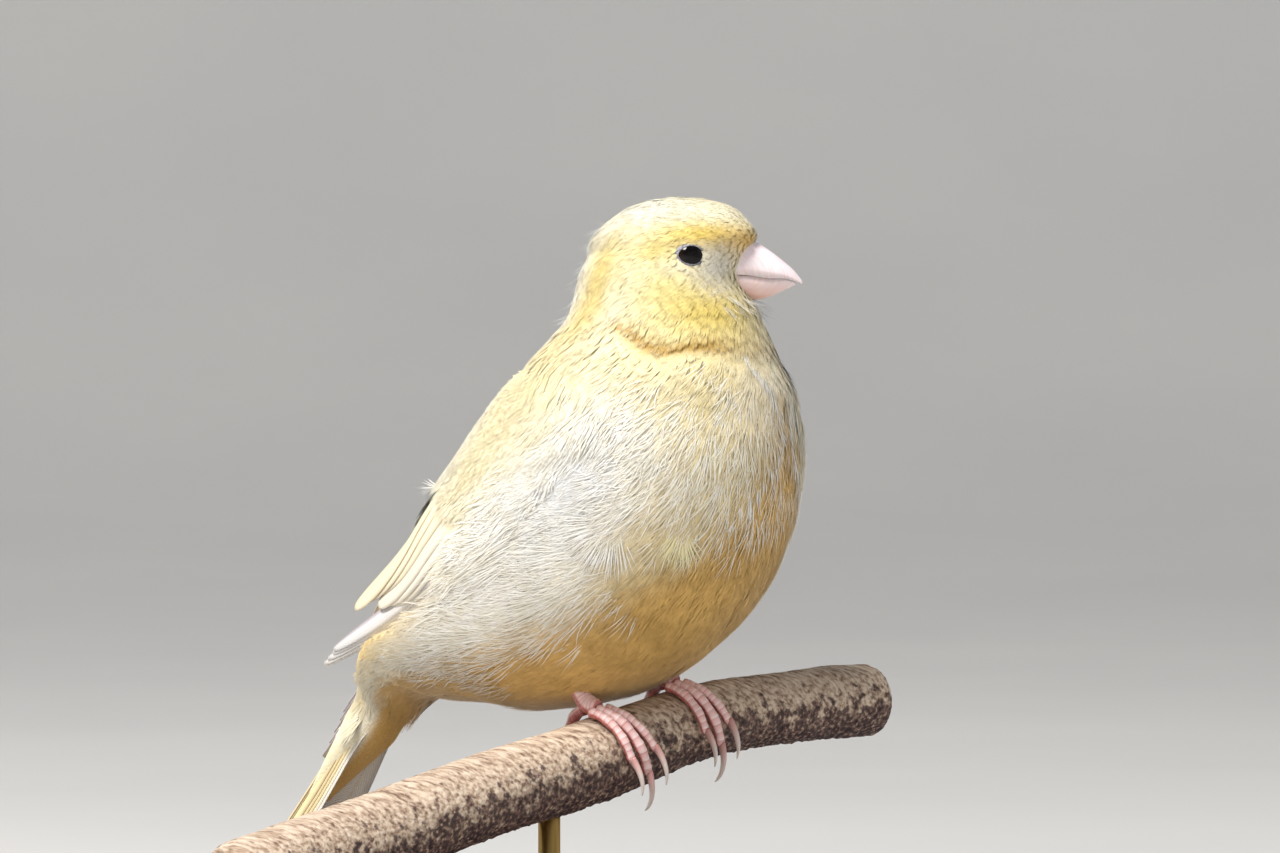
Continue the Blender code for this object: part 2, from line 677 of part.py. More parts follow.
def make_tail():
    rings = []
    for along, half, low, high in TAIL_CORE:
        upper = [tail_sheet(along, across * half, high) for across in (-1, -0.6, -0.2, 0.2, 0.6, 1)]
        lower = [tail_sheet(along, across * half, low) for across in (1, 0.6, 0.2, -0.2, -0.6, -1)]
        rings.append(upper + lower)
    bm = bmesh.new()
    loft(bm, rings)
    tail = new_object("tail", bm, FEATHER)
    # The middle feather lies on the others, and the middle covert on it. One side lies a little lower than
    # the other, so that their feathers cross cleanly under it.
    vanes = [
        vane(
            tail_sheet,
            (0.04, 0.0),
            (0.97, 0.02),
            TAIL_MIDDLE_WIDTH,
            TAIL_STEP,
            SHAFT_RISE,
            TAIL_MIDDLE_THICKNESS,
        ),
        vane(
            tail_sheet,
            (0.02, 0.0),
            (TAIL_COVERT_LENGTH / TAIL_LENGTH, 0.02),
            TAIL_COVERT_WIDTH,
            TAIL_COVERT_HEIGHT + TAIL_STEP,
            0,
            TAIL_MIDDLE_THICKNESS,
        ),
    ]
    for side in SIDES:
        shift = TAIL_SHIFT[side]
        for i in range(TAIL_FEATHERS_A_SIDE):
            share = i / (TAIL_FEATHERS_A_SIDE - 1)
            start = (0.04, side * (0.30 + 0.30 * share))
            end = (1 - TAIL_NOTCH / TAIL_LENGTH * (1 - share), side * (0.26 + 0.38 * share))
            vanes.append(vane(tail_sheet, start, end, TAIL_FEATHER_WIDTH, shift - TAIL_STEP * i, SHAFT_RISE))
        for i in range(TAIL_COVERTS_A_SIDE):
            share = (i + 1) / TAIL_COVERTS_A_SIDE
            length = TAIL_COVERT_LENGTH * (1 - 0.35 * share) / TAIL_LENGTH
            start, end = (0.02, side * 0.55 * share), (length, side * 0.66 * share)
            height = shift + TAIL_COVERT_HEIGHT - TAIL_COVERT_STEP * i
            vanes.append(vane(tail_sheet, start, end, TAIL_COVERT_WIDTH, height, 0))
    combine(tail, vanes, "UNION")
    return tail


# Branch, legs and claws


def branch_axis(along):
    """The branch's axis and radius at a distance from between the feet, in plan."""
    spots = [row[0] for row in BRANCH]
    i = int(np.searchsorted(spots, along)) - 1
    i = min(max(i, 0), len(spots) - 2)
    at = i + (along - spots[i]) / (spots[i + 1] - spots[i])
    _, height, radius = spline(BRANCH, at)
    heading = Vector((math.cos(BRANCH_HEADING), math.sin(BRANCH_HEADING), 0))
    return PERCH_POINT + heading * along + UP * height, radius


def branch_frame(along):
    """The branch's axis point, its radius, and the directions that lead forward from it and up."""
    here, radius = branch_axis(along)
    tangent = (branch_axis(along + 0.5)[0] - branch_axis(along - 0.5)[0]).normalized()
    forward = tangent.cross(UP).normalized()
    return here, radius, forward, forward.cross(tangent)


def over_branch(along, angle, ride):
    """A point at a height over the branch's bark. Angle is 0 on its crest and 90 on its front."""
    here, radius, forward, up = branch_frame(along)
    turn = math.radians(angle)
    return here + (forward * math.sin(turn) + up * math.cos(turn)) * (radius + ride)


def tube(points, radii, sides, name, skin, tip=None):
    """A round limb through points, with a radius at each."""
    points = [Vector(p) for p in points]
    rings = []
    side = None
    for i, here in enumerate(points):
        tangent = (points[min(i + 1, len(points) - 1)] - points[max(i - 1, 0)]).normalized()
        if side is None:
            side = tangent.orthogonal().normalized()
        side = (side - tangent * side.dot(tangent)).normalized()
        other = tangent.cross(side)
        turns = [2 * math.pi * j / sides for j in range(sides)]
        rings.append([here + (side * math.cos(t) + other * math.sin(t)) * radii[i] for t in turns])
    bm = bmesh.new()
    loft(bm, rings, tip=tip)
    return new_object(name, bm, skin)


def toe_path(side, toe):
    """The points and radii of a toe: thick at its knuckles, and bent round the branch."""
    _, from_shift, to_shift, start, end, thickness = toe
    points, radii = [], []
    for i in range(TOE_RINGS):
        share = i / (TOE_RINGS - 1)
        knuckle = 0.5 - 0.5 * math.cos(2 * math.pi * TOE_KNUCKLES * share)
        radius = 0.5 * thickness * (1 - 0.14 * share) * (1 - 0.15 * knuckle)
        along = FOOT_ALONG[side] + from_shift + (to_shift - from_shift) * share
        points.append(over_branch(along, start + (end - start) * share, 0.5 * thickness + GAP))
        radii.append(radius)
    return points, radii


def make_leg(side):
    ankle = over_branch(FOOT_ALONG[side], -4, 2.0)
    top = PERCH_POINT + Vector(TARSUS_TOP[side])
    points = [over_branch(FOOT_ALONG[side] + 0.2, 10, 1.5), ankle, ankle.lerp(top, 0.35), top]
    radii = [1.15, 1.45, TARSUS_RADIUS, TARSUS_RADIUS * 1.1]
    leg = tube(points, radii, 8, "leg_" + SIDE_NAMES[side], LEG_SKIN)
    toes = [tube(*toe_path(side, toe), 8, "toe", LEG_SKIN) for toe in TOES]
    combine(leg, toes, "UNION")
    combine(leg, [grown_body(("torso",))], "DIFFERENCE")


def make_claws(side):
    for toe in TOES:
        name, _, to_shift, start, end, thickness = toe
        sign = 1 if end > start else -1
        along = FOOT_ALONG[side] + to_shift
        _, radius = branch_axis(along)
        ride = 0.5 * thickness + GAP
        # The gap and the claw's length are turned into angles round the branch.
        a_degree = math.radians(1) * (radius + ride)
        first = end + sign * CLAW_GAP / a_degree
        sweep = CLAW_LENGTH[name] * 0.8 / a_degree
        points, radii = [], []
        for i in range(CLAW_RINGS):
            share = i / CLAW_RINGS
            lift = CLAW_LIFT * math.sin(0.5 * math.pi * share)
            points.append(over_branch(along, first + sign * sweep * share, ride + lift))
            radii.append(CLAW_RADIUS * (1 - share) ** 0.7)
        tip = over_branch(along, first + sign * sweep, ride + CLAW_LIFT)
        tube(points, radii, 6, f"claw_{SIDE_NAMES[side]}_{name}", CLAW_HORN, tip=tip)


def bark(along, angle):
    """The branch's unevenness: a share of its radius, never above 1 where the feet hold it."""
    ripple = 0.012 * math.sin(3 * angle + 0.11 * along) + 0.010 * math.sin(2 * angle - 0.07 * along + 1.0)
    knots = 0.0
    for at, turn, size in KNOTS:
        away = ((along - at) / 5.0) ** 2 + (2.0 * math.sin(0.5 * (angle - turn))) ** 2 * 2.5
        knots += size * math.exp(-away)
    return 0.978 + ripple + knots


def make_perch():
    first, last = BRANCH[0][0], BRANCH[-1][0]
    spots = [first, first + 0.5, *np.linspace(first + 5, last - 5, BRANCH_RINGS), last - 0.5, last]
    rings = []
    for spot in spots:
        here, radius, forward, up = branch_frame(spot)
        worn = 0.93 if spot in (first, last) else 1.0
        ring = []
        for i in range(BRANCH_SIDES):
            turn = 2 * math.pi * i / BRANCH_SIDES
            reach = radius * bark(spot, turn) * worn
            ring.append(here + (forward * math.sin(turn) + up * math.cos(turn)) * reach)
        rings.append(ring)
    bm = bmesh.new()
    loft(bm, rings)
    perch = new_object("perch", bm, BRANCH_WOOD)
    combine(perch, [rod("bore", along, GAP) for along in ROD_ALONG], "DIFFERENCE")


# Stand


def rod(name, along, grow=0.0):
    """An upright rod from inside the base to inside the branch. Grow widens and lengthens it, for bores."""
    here, radius = branch_axis(along)
    foot = BASE_HEIGHT - ROD_SINK - grow
    head = here.z - radius + ROD_SINK + grow
    bm = bmesh.new()
    bmesh.ops.create_cone(
        bm,
        cap_ends=True,
        segments=16,
        radius1=ROD_RADIUS + grow,
        radius2=ROD_RADIUS + grow,
        depth=head - foot,
    )
    bmesh.ops.translate(bm, vec=(here.x, here.y, (head + foot) / 2), verts=bm.verts)
    return new_object(name, bm, ROD_METAL)


def make_stand():
    profile = (
        (BASE_RADIUS - 1.0, 0.0),
        (BASE_RADIUS, 1.0),
        (BASE_RADIUS, BASE_HEIGHT - BASE_EDGE),
        (BASE_RADIUS - 0.3 * BASE_EDGE, BASE_HEIGHT - 0.3 * BASE_EDGE),
        (BASE_RADIUS - BASE_EDGE, BASE_HEIGHT),
    )
    turns = [2 * math.pi * i / BASE_SIDES for i in range(BASE_SIDES)]
    bm = bmesh.new()
    loft(bm, [[Vector((r * math.cos(t), r * math.sin(t), z)) for t in turns] for r, z in profile])
    base = new_object("stand_base", bm, STAND_WOOD)
    combine(base, [rod("bore", along, GAP) for along in ROD_ALONG], "DIFFERENCE")
    for i, along in enumerate(ROD_ALONG):
        rod(f"stand_rod_{i + 1}", along)


for old in list(bpy.data.objects):
    bpy.data.objects.remove(old)
PARTS = bpy.data.collections.new("canary")
bpy.context.scene.collection.children.link(PARTS)

PLUMAGE = material("plumage", (0.86, 0.74, 0.42), 0.85)
FEATHER = material("flight_feathers", (0.90, 0.84, 0.62), 0.7)
HORN = material("bill_horn", (0.86, 0.62, 0.56), 0.45)
EYE_BLACK = material("eye", (0.01, 0.008, 0.008), 0.08)
LEG_SKIN = material("leg_skin", (0.82, 0.50, 0.48), 0.55)
CLAW_HORN = material("claw_horn", (0.85, 0.78, 0.75), 0.4)
BRANCH_WOOD = material("branch_wood", (0.55, 0.47, 0.38), 0.9)
STAND_WOOD = material("stand_wood", (0.23, 0.13, 0.07), 0.5)
ROD_METAL = material("rod_metal", (0.75, 0.60, 0.34), 0.3, 1.0)

BODY = make_body()
make_bill()
make_eyes(BODY["head"])
for SIDE in SIDES:
    make_wing(SIDE)
    make_leg(SIDE)
    make_claws(SIDE)
make_tail()
make_perch()
make_stand()
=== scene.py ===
import math
from functools import partial

import bmesh
import bpy
import numpy as np
from mathutils import Matrix, Vector, noise


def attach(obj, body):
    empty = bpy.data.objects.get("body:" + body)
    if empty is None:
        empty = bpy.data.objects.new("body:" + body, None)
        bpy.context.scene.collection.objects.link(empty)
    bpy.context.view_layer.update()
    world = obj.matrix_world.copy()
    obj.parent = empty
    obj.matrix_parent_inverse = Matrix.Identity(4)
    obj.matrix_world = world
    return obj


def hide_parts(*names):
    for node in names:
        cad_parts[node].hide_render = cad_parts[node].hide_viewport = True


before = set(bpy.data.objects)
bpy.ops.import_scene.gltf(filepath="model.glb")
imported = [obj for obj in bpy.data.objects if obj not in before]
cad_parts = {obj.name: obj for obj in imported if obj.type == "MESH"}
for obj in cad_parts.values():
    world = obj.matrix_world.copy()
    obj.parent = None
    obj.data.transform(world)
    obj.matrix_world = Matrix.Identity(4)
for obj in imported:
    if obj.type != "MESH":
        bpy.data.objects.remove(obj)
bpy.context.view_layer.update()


# The view: a long lens held level with the bird's breast, 0.9 m away, 30 degrees forward of its right side.
# The bird and the branch are placed by a point on the branch's axis, between the feet.
MM = 0.001
PERCH_POINT = np.array((8.0, 6.0, 44.0))
VIEW_AZIMUTH = math.radians(30)
VIEW_DISTANCE = 900.0
VIEW_SHIFT, VIEW_RISE = 0.5, 49.2
LENS, SENSOR = 163.3, 36.0

view_right = Vector((math.cos(VIEW_AZIMUTH), math.sin(VIEW_AZIMUTH), 0))
view_ahead = Vector((-math.sin(VIEW_AZIMUTH), math.cos(VIEW_AZIMUTH), 0))
UP = Vector((0, 0, 1))
camera_data = bpy.data.cameras.new("view")
camera_data.lens = LENS
camera_data.sensor_width = SENSOR
camera_data.clip_start = 0.05
camera_data.clip_end = 50.0
camera = bpy.data.objects.new("view", camera_data)
bpy.context.scene.collection.objects.link(camera)
aim = Vector(PERCH_POINT) + view_right * VIEW_SHIFT + UP * VIEW_RISE
camera.location = (aim - view_ahead * VIEW_DISTANCE) * MM
camera.rotation_euler = (math.pi / 2, 0, VIEW_AZIMUTH)
bpy.context.scene.camera = camera


# The light: a large high key a little to the left, as the midday sun stands over the bird, a weak wide fill
# from the viewer's side, and a dim pale sky. Each lamp is a square soft box turned to the bird: its place in
# metres right of the aim, ahead of it and over it, its size, its power and its colour.
LAMPS = {
    "key": ((-0.85, -0.85, 1.75), 0.72, 72.0, (1.0, 0.975, 0.94)),
    "fill": ((1.10, -1.90, 0.50), 1.6, 7.0, (0.92, 0.95, 1.0)),
}
SKY, SKY_STRENGTH = (0.90, 0.93, 1.0, 1.0), 0.26

for name, ((right, ahead, rise), size, power, colour) in LAMPS.items():
    data = bpy.data.lights.new(name, "AREA")
    data.size = size
    data.energy = power
    data.color = colour
    lamp = bpy.data.objects.new(name, data)
    bpy.context.scene.collection.objects.link(lamp)
    offset = view_right * right + view_ahead * ahead + UP * rise
    lamp.location = aim * MM + offset
    lamp.rotation_euler = offset.to_track_quat("Z", "Y").to_euler()
    lamp.visible_glossy = name == "key"
world = bpy.data.worlds.new("pale_sky")
world.use_nodes = True
background = world.node_tree.nodes["Background"].inputs
background["Color"].default_value = SKY
background["Strength"].default_value = SKY_STRENGTH
bpy.context.scene.world = world
bpy.context.scene.view_settings.view_transform = "Standard"


# The floor: one wide plaster sweep, flat under the stand and curved up all round, so that no horizon shows.
# Painted matt plaster gives a faint cloudy unevenness and no gloss. It lies a little under the stand.
FLOOR_PROFILE = ((0, 0), (1500, 0), (2000, 60), (2350, 260), (2550, 600), (2650, 1100), (2700, 1900))
FLOOR_DROP, FLOOR_STEPS = 0.4, 96


def linear(text):
    """An sRGB hex colour as linear red, green, blue and alpha."""
    parts = [int(text[i : i + 2], 16) / 255 for i in (1, 3, 5)]
    return tuple(c / 12.92 if c <= 0.04045 else ((c + 0.055) / 1.055) ** 2.4 for c in parts) + (1.0,)


def finish(name, values):
    """A new material, its node tree and its shader, which takes the values."""
    made = bpy.data.materials.new(name)
    made.use_nodes = True
    shader = made.node_tree.nodes["Principled BSDF"]
    for key, value in values.items():
        shader.inputs[key].default_value = value
    return made, made.node_tree, shader


def node(tree, kind, inputs=(), stops=(), **settings):
    """Adds one node with its settings. Each input is a number, a colour or another node's output."""
    made = tree.nodes.new(kind)
    for name, value in settings.items():
        setattr(made, name, value)
    for key, value in dict(inputs).items():
        if isinstance(value, bpy.types.NodeSocket):
            tree.links.new(value, made.inputs[key])
        else:
            made.inputs[key].default_value = value
    for number, (place, colour) in enumerate(stops):
        row = made.color_ramp.elements
        stop = row[number] if number < len(row) else row.new(place)
        stop.position = place
        stop.color = linear(colour) if isinstance(colour, str) else (colour, colour, colour, 1.0)
    return made


def object_place(tree):
    """Where a point is on its own object."""
    return node(tree, "ShaderNodeTexCoord").outputs["Object"]


def cloudy(tree, at, scale, detail, distortion=0.0):
    """Soft noise between 0 and 1."""
    inputs = {"Vector": at, "Scale": scale, "Detail": detail, "Distortion": distortion}
    return node(tree, "ShaderNodeTexNoise", inputs).outputs["Fac"]


def ramp(tree, value, *stops):
    """A colour by a value, from stops of place and colour."""
    return node(tree, "ShaderNodeValToRGB", {"Fac": value}, stops).outputs["Color"]


def new_piece(name, bm, surface):
    """An object from a bmesh in millimetres, with its doubles merged and its faces turned outwards."""
    bmesh.ops.remove_doubles(bm, verts=bm.verts, dist=1e-5)
    bmesh.ops.recalc_face_normals(bm, faces=bm.faces)
    bmesh.ops.scale(bm, vec=(MM, MM, MM), verts=bm.verts)
    mesh = bpy.data.meshes.new(name)
    bm.to_mesh(mesh)
    bm.free()
    mesh.materials.append(surface)
    mesh.shade_smooth()
    made = bpy.data.objects.new(name, mesh)
    bpy.context.scene.collection.objects.link(made)
    return made


def turned_piece(name, profile, x, y, surface, steps):
    """A piece turned on a lathe: a profile of radius and height, spun round an upright axis."""
    bm = bmesh.new()
    verts = [bm.verts.new((x + reach, y, height)) for reach, height in profile]
    edges = [bm.edges.new(pair) for pair in zip(verts, verts[1:])]
    spin = {"axis": UP, "cent": (x, y, 0), "angle": math.tau, "steps": steps, "use_merge": True}
    bmesh.ops.spin(bm, geom=verts + edges, **spin)
    return new_piece(name, bm, surface)


def soften(made, levels):
    """Rounds a piece by subdivision, alike in the view and in the render."""
    smooth = made.modifiers.new("smooth", "SUBSURF")
    smooth.levels = levels
    smooth.render_levels = levels


plaster, tree, shader = finish("matt_painted_plaster", {"Roughness": 0.9})
cloud = cloudy(tree, object_place(tree), 3.0, 4.0)
tree.links.new(ramp(tree, cloud, (0.3, "#C6C6C5"), (0.7, "#CECDCB")), shader.inputs["Base Color"])

profile = [(reach, height - FLOOR_DROP) for reach, height in FLOOR_PROFILE]
floor = turned_piece("floor", profile, 0, 0, plaster, FLOOR_STEPS)
# The face that shows is the upper one.
if any(face.normal.z < 0 and face.center.z < 0 for face in floor.data.polygons):
    floor.data.flip_normals()
soften(floor, 2)


# The skin: the bird's whole body from the tail's root over the crown, in one piece. It lies under the coat
# by the coat's depth and carries the same markings and painted shade, so that no bare place shows between
# the feathers.
# Stations: the back's and the belly's points in the middle plane (x, z), half width, widest line's share.
BODY_STATIONS = (
    ((-50.5, 8.5), (-42.0, 1.8), 6.2, 0.45),
    ((-49.0, 14.0), (-35.8, 6.2), 11.5, 0.45),
    ((-46.0, 20.5), (-26.5, 5.6), 16.6, 0.45),
    ((-41.6, 27.0), (-13.5, 5.0), 20.8, 0.45),
    ((-36.6, 33.5), (0.5, 8.0), 23.4, 0.45),
    ((-31.4, 40.0), (13.0, 15.5), 24.8, 0.45),
    ((-26.0, 46.5), (22.5, 27.5), 25.0, 0.47),
    ((-20.8, 53.0), (26.6, 41.5), 23.4, 0.50),
    ((-16.2, 59.5), (25.8, 53.0), 20.2, 0.50),
    ((-11.4, 64.6), (22.8, 60.2), 16.2, 0.50),
)
# The tail coverts' cone, from the rump to a third down the tail, as stations before 0.
CONE_STATIONS = (
    ((-62.0, -9.6), (-56.9, -13.5), 5.4, 0.40),
    ((-58.0, -2.0), (-50.2, -7.9), 6.4, 0.42),
    ((-54.4, 3.7), (-44.8, -3.2), 7.0, 0.44),
)
CONE_ROWS = len(CONE_STATIONS)
# Height, reach behind and before the neck's axis, half width, widest line's share.
HEAD_STATIONS = (
    (67.2, 14.7, 14.6, 13.4, 0.52),
    (71.8, 13.4, 12.2, 11.6, 0.52),
    (75.6, 12.0, 12.8, 10.4, 0.50),
    (78.6, 11.1, 14.3, 9.7, 0.48),
    (81.2, 8.5, 12.8, 8.0, 0.45),
    (83.2, 5.3, 10.4, 5.4, 0.42),
    (84.3, 1.8, 6.8, 2.6, 0.40),
)
# The head turns to the left round the neck's axis, and the neck twists between two heights.
NECK_AXIS_X = 5.0
HEAD_YAW = math.radians(25)
TWIST_FROM, TWIST_TO = 54.0, 71.0
CROWN_RISE = 0.4
# The bed that a folded wing lies in: its depth, the degrees over which its edges soften, the stations where
# it starts, is full, shallows and ends, and its upper and lower edge by station and angle.
BED_DEPTH, BED_EDGE = 4.6, 11.0
BED_STATIONS = (0.5, 2.6, 7.0, 7.7)
BED_UPPER = ((3.6, 2), (4.6, 10), (5.8, 20), (7.1, 32), (7.9, 50))
BED_LOWER = ((0.5, 50), (2.0, 62), (3.2, 73), (4.2, 80), (5.2, 85), (7.4, 90))
SKIN_RINGS, SKIN_SIDES, SKIN_SHADE = 150, 96, 0.96
# How deep the skin lies under the coat's face, by station.
SKIN_DEPTH = ((-3.0, 2.6), (-1.2, 2.2), (0.0, 0.65), (8.0, 0.6), (10.5, 0.24), (17.0, 0.18))
SLOPE_STEP, WING_SLOPE_STEP = 0.03, 0.02


def smooth_step(x, low, high):
    share = np.clip((np.asarray(x, float) - low) / (high - low), 0.0, 1.0)
    return share * share * (3 - 2 * share)


def spline(rows, at):
    """A smooth curve through rows of numbers, which stand at 0, 1, 2 and so on, for one or many places."""
    rows = np.asarray(rows, float)
    at = np.asarray(at, float)
    padded = np.vstack([2 * rows[0] - rows[1], rows, 2 * rows[-1] - rows[-2]])
    i = np.clip(np.floor(at).astype(int), 0, len(rows) - 2)
    t = (at - i)[..., None]
    before, a, b, after = padded[i], padded[i + 1], padded[i + 2], padded[i + 3]
    bend = t * t * (before - 2.5 * a + 2 * b - 0.5 * after)
    return a + 0.5 * t * (b - before) + bend + t**3 * (1.5 * (a - b) + 0.5 * (after - before))


def unit(arrows):
    return arrows / np.maximum(np.linalg.norm(arrows, axis=-1, keepdims=True), 1e-9)


def turned(points, share=1.0):
    """Points of the unturned head, carried round the neck's axis by a share of the head's turn."""
    points = np.asarray(points, float)
    turn = HEAD_YAW * np.asarray(share)
    x = points[..., 0] - NECK_AXIS_X
    y = points[..., 1]
    ahead = NECK_AXIS_X + x * np.cos(turn) - y * np.sin(turn)
    return np.stack([ahead, x * np.sin(turn) + y * np.cos(turn), points[..., 2]], -1)


HEAD_ROWS = tuple(
    ((NECK_AXIS_X - behind, height), (NECK_AXIS_X + before, height), half, widest)
    for height, behind, before, half, widest in HEAD_STATIONS
)
STATIONS = np.array(
    [
        (*back, *front, half, widest, smooth_step((back[1] + front[1]) / 2, TWIST_FROM, TWIST_TO))
        for back, front, half, widest in CONE_STATIONS + BODY_STATIONS + HEAD_ROWS
    ]
)
LAST_STATION = len(STATIONS) - 1 - CONE_ROWS
TOP = STATIONS[-1]
CROWN = PERCH_POINT + turned(((TOP[0] + TOP[2]) / 2, 0, TOP[1] + CROWN_RISE))


def skin_points(stations, angles, grow=0.0):
    """Places on the plumage. Angle is 0 on the back, 180 on the belly and positive on the left side.

    Past the last station they close in on the crown. Stations before 0 lie over the tail's root.
    """
    stations, angles, grow = np.broadcast_arrays(*(np.asarray(v, float) for v in (stations, angles, grow)))
    row = spline(STATIONS, np.clip(stations, -CONE_ROWS, LAST_STATION) + CONE_ROWS)
    back, front = row[..., 0:2], row[..., 2:4]
    centre = back + (front - back) * row[..., 5:6]
    c, s = np.cos(np.radians(angles)), np.sin(np.radians(angles))
    arm = np.where((c > 0)[..., None], back - centre, front - centre)
    arm = arm + unit(arm) * grow[..., None]
    flat = centre + arm * np.abs(c)[..., None]
    across = (row[..., 4] + grow) * s
    found = PERCH_POINT + turned(np.stack([flat[..., 0], across, flat[..., 1]], -1), row[..., 6])
    return found + (CROWN - found) * np.clip(stations - LAST_STATION, 0, 1)[..., None]


def slopes(stations, angles, step=SLOPE_STEP):
    """How the plumage runs at many places: along it over twice the step, and round it by two degrees."""
    along = skin_points(stations + step, angles) - skin_points(stations - step, angles)
    return along, skin_points(stations, angles + 1) - skin_points(stations, angles - 1)


def off_skin(stations, angles, out):
    """Places that stand out from the plumage by a distance, along its normal."""
    along, around = slopes(stations, angles, WING_SLOPE_STEP)
    return skin_points(stations, angles) + unit(np.cross(along, around)) * np.asarray(out)[..., None]


# The folded wing's outline on the body: its upper and lower edge by station and angle, by how many degrees
# the left one's lower edge is higher, and its front by angle and station.
WING_UPPER_EDGE = ((3.0, -8), (4.5, 8), (5.9, 12), (7.1, 24), (7.9, 48))
WING_LOWER_EDGE = ((1.0, 66), (2.6, 72), (4.0, 80), (5.2, 87), (6.4, 90), (7.4, 92))
LEFT_HIGHER = ((1.0, 14), (2.6, 16), (4.0, 16), (5.2, 9), (6.4, 3), (7.4, 0))
WING_FRONT = ((48, 7.9), (92, 7.4))
# About how many millimetres a degree and a station take up there.
DEGREE, STATION = 0.42, 7.5
# How far the coat rises over the wing, by angle.
RISE = ((20, 1.7), (60, 1.3), (90, 0.8), (110, 0.3))


def higher(stations, angles):
    """How many degrees higher the folded wing's lower edge is: none on the right."""
    return np.interp(stations, *zip(*LEFT_HIGHER)) * (np.asarray(angles) > 0)


def in_wing(stations, angles):
    """How far inside the folded wing's outline a place is: from below, from the front and from above."""
    sized = np.abs(angles)
    lower = np.interp(stations, *zip(*WING_LOWER_EDGE)) - higher(stations, angles)
    below = (lower - sized) * DEGREE
    above = (sized - np.interp(stations, *zip(*WING_UPPER_EDGE))) * DEGREE
    front = (np.interp(sized, *zip(*WING_FRONT)) - stations) * STATION
    return below, front, above


def over_wing(stations, angles):
    """How far the coat rises to lie over the wing's edges."""
    inside = np.minimum.reduce(in_wing(stations, angles))
    sized = np.abs(angles)
    return np.interp(sized, *zip(*RISE)) * smooth_step(inside, -7, 1) * smooth_step(stations, 3.4, 4.6)


def bed_depth(stations, angles):
    """How deep the plumage gives way under a folded wing."""
    angles = (angles + 180) % 360 - 180
    upper = np.interp(stations, *zip(*BED_UPPER))
    lower = np.interp(stations, *zip(*BED_LOWER)) - higher(stations, angles)
    angles = np.abs(angles)
    low_in, low_full, high_full, high_out = BED_STATIONS
    lengthwise = smooth_step(stations, low_in, low_full) - smooth_step(stations, high_full, high_out)
    above = smooth_step((angles - upper + BED_EDGE) / BED_EDGE, 0, 1)
    below = smooth_step((angles - lower) / BED_EDGE, 0, 1)
    return BED_DEPTH * lengthwise * (above - below)


def loft(bm, rings, marks=None, close=True):
    """Joins closed rings of points one to the next, and fills both ends. Marks are kept on the points."""
    layer = bm.verts.layers.float_vector.get("lay") or bm.verts.layers.float_vector.new("lay")
    loops = []
    for number, ring in enumerate(rings):
        verts = [bm.verts.new(point) for point in ring]
        if marks is not None:
            for vert, mark in zip(verts, marks[number]):
                vert[layer] = mark
        loops.append([bm.edges.new((verts[i - 1], verts[i])) for i in range(len(verts))])
    for near, far in zip(loops, loops[1:]):
        bmesh.ops.bridge_loops(bm, edges=near + far)
    if close:
        bmesh.ops.edgeloop_fill(bm, edges=loops[0])
        bmesh.ops.edgeloop_fill(bm, edges=loops[-1])


# Markings and painted shade, each a soft patch: colour, station, angle from the back, reach in stations and
# degrees, strength.
GROUND_COLOUR = "#F8EFCF"
MARKINGS_AND_SHADE = (
    ("#FBF7E8", 5.4, 8, 3.0, 42, 0.95),
    ("#F8F4E4", 1.6, 20, 1.8, 60, 0.80),
    ("#F3E1A4", 6.5, 66, 1.3, 16, 0.90),
    ("#F2E2A2", 7.4, 128, 1.1, 26, 0.75),
    ("#EFDC98", 8.2, 96, 0.7, 16, 0.65),
    ("#FAF6EA", 7.9, 172, 0.9, 17, 0.85),
    ("#F4F5F7", 5.7, 100, 1.5, 24, 0.97),
    ("#E9EDF6", 6.3, 98, 0.7, 13, 0.70),
    ("#F5F4F1", 3.4, 94, 1.6, 20, 0.85),
    # Painted shade under the flank's fan, so that its white barbs stand out.
    ("#DAC48C", 5.7, 130, 0.55, 11, 0.65),
    ("#F7F4EA", 0.2, 112, 1.6, 20, 0.90),
    # Golden on the rump, deepened as painted shade under the wing's tip.
    ("#E6C67A", 1.6, 76, 1.3, 13, 0.85),
    # The lower belly and vent: golden, deepened as painted shade under the body, most by the legs.
    ("#EED08C", 4.6, 172, 2.3, 30, 0.85),
    ("#E3BE78", 3.2, 172, 1.2, 26, 0.70),
    ("#ECD18E", 1.6, 160, 1.2, 34, 0.70),
    ("#FBF8EC", 14.6, 30, 1.9, 62, 0.92),
    ("#F9F4DE", 12.6, 0, 2.2, 18, 0.85),
    # Golden down the nape and the neck's side, deepened as painted shade under the head.
    ("#E2CA68", 11.2, 44, 1.4, 13, 0.80),
    ("#DCC26C", 9.7, 42, 1.2, 14, 0.75),
    ("#FAF6E6", 10.6, 6, 1.7, 17, 0.85),
    ("#ECD05E", 13.05, 112, 0.50, 30, 0.92),
    ("#E9D06A", 12.1, 84, 0.45, 13, 0.75),
    ("#ECBE5C", 12.65, 156, 0.50, 24, 0.85),
    ("#F0ECDD", 10.1, 68, 0.7, 11, 0.70),
    ("#F2E596", 10.7, 98, 0.8, 20, 0.75),
    ("#E8CE5E", 9.9, 128, 0.60, 28, 0.88),
    ("#E4E0D8", 11.5, 134, 0.65, 14, 0.88),
    ("#F5EFDA", 11.4, 104, 0.28, 12, 0.60),
)
# The golden line where the head's feathers end over the breast, darkened as painted shade in the crease
# under them: angles and stations along it.
COLLAR_ANGLES = (62, 76, 88, 99, 108, 116, 128, 180)
COLLAR_STATIONS = (9.45, 9.28, 9.03, 8.83, 8.80, 8.97, 9.05, 9.1)
COLLAR_GOLD_AND_SHADE, COLLAR_REACH, COLLAR_SHADE_STRENGTH = "#B48C34", 0.15, 0.95
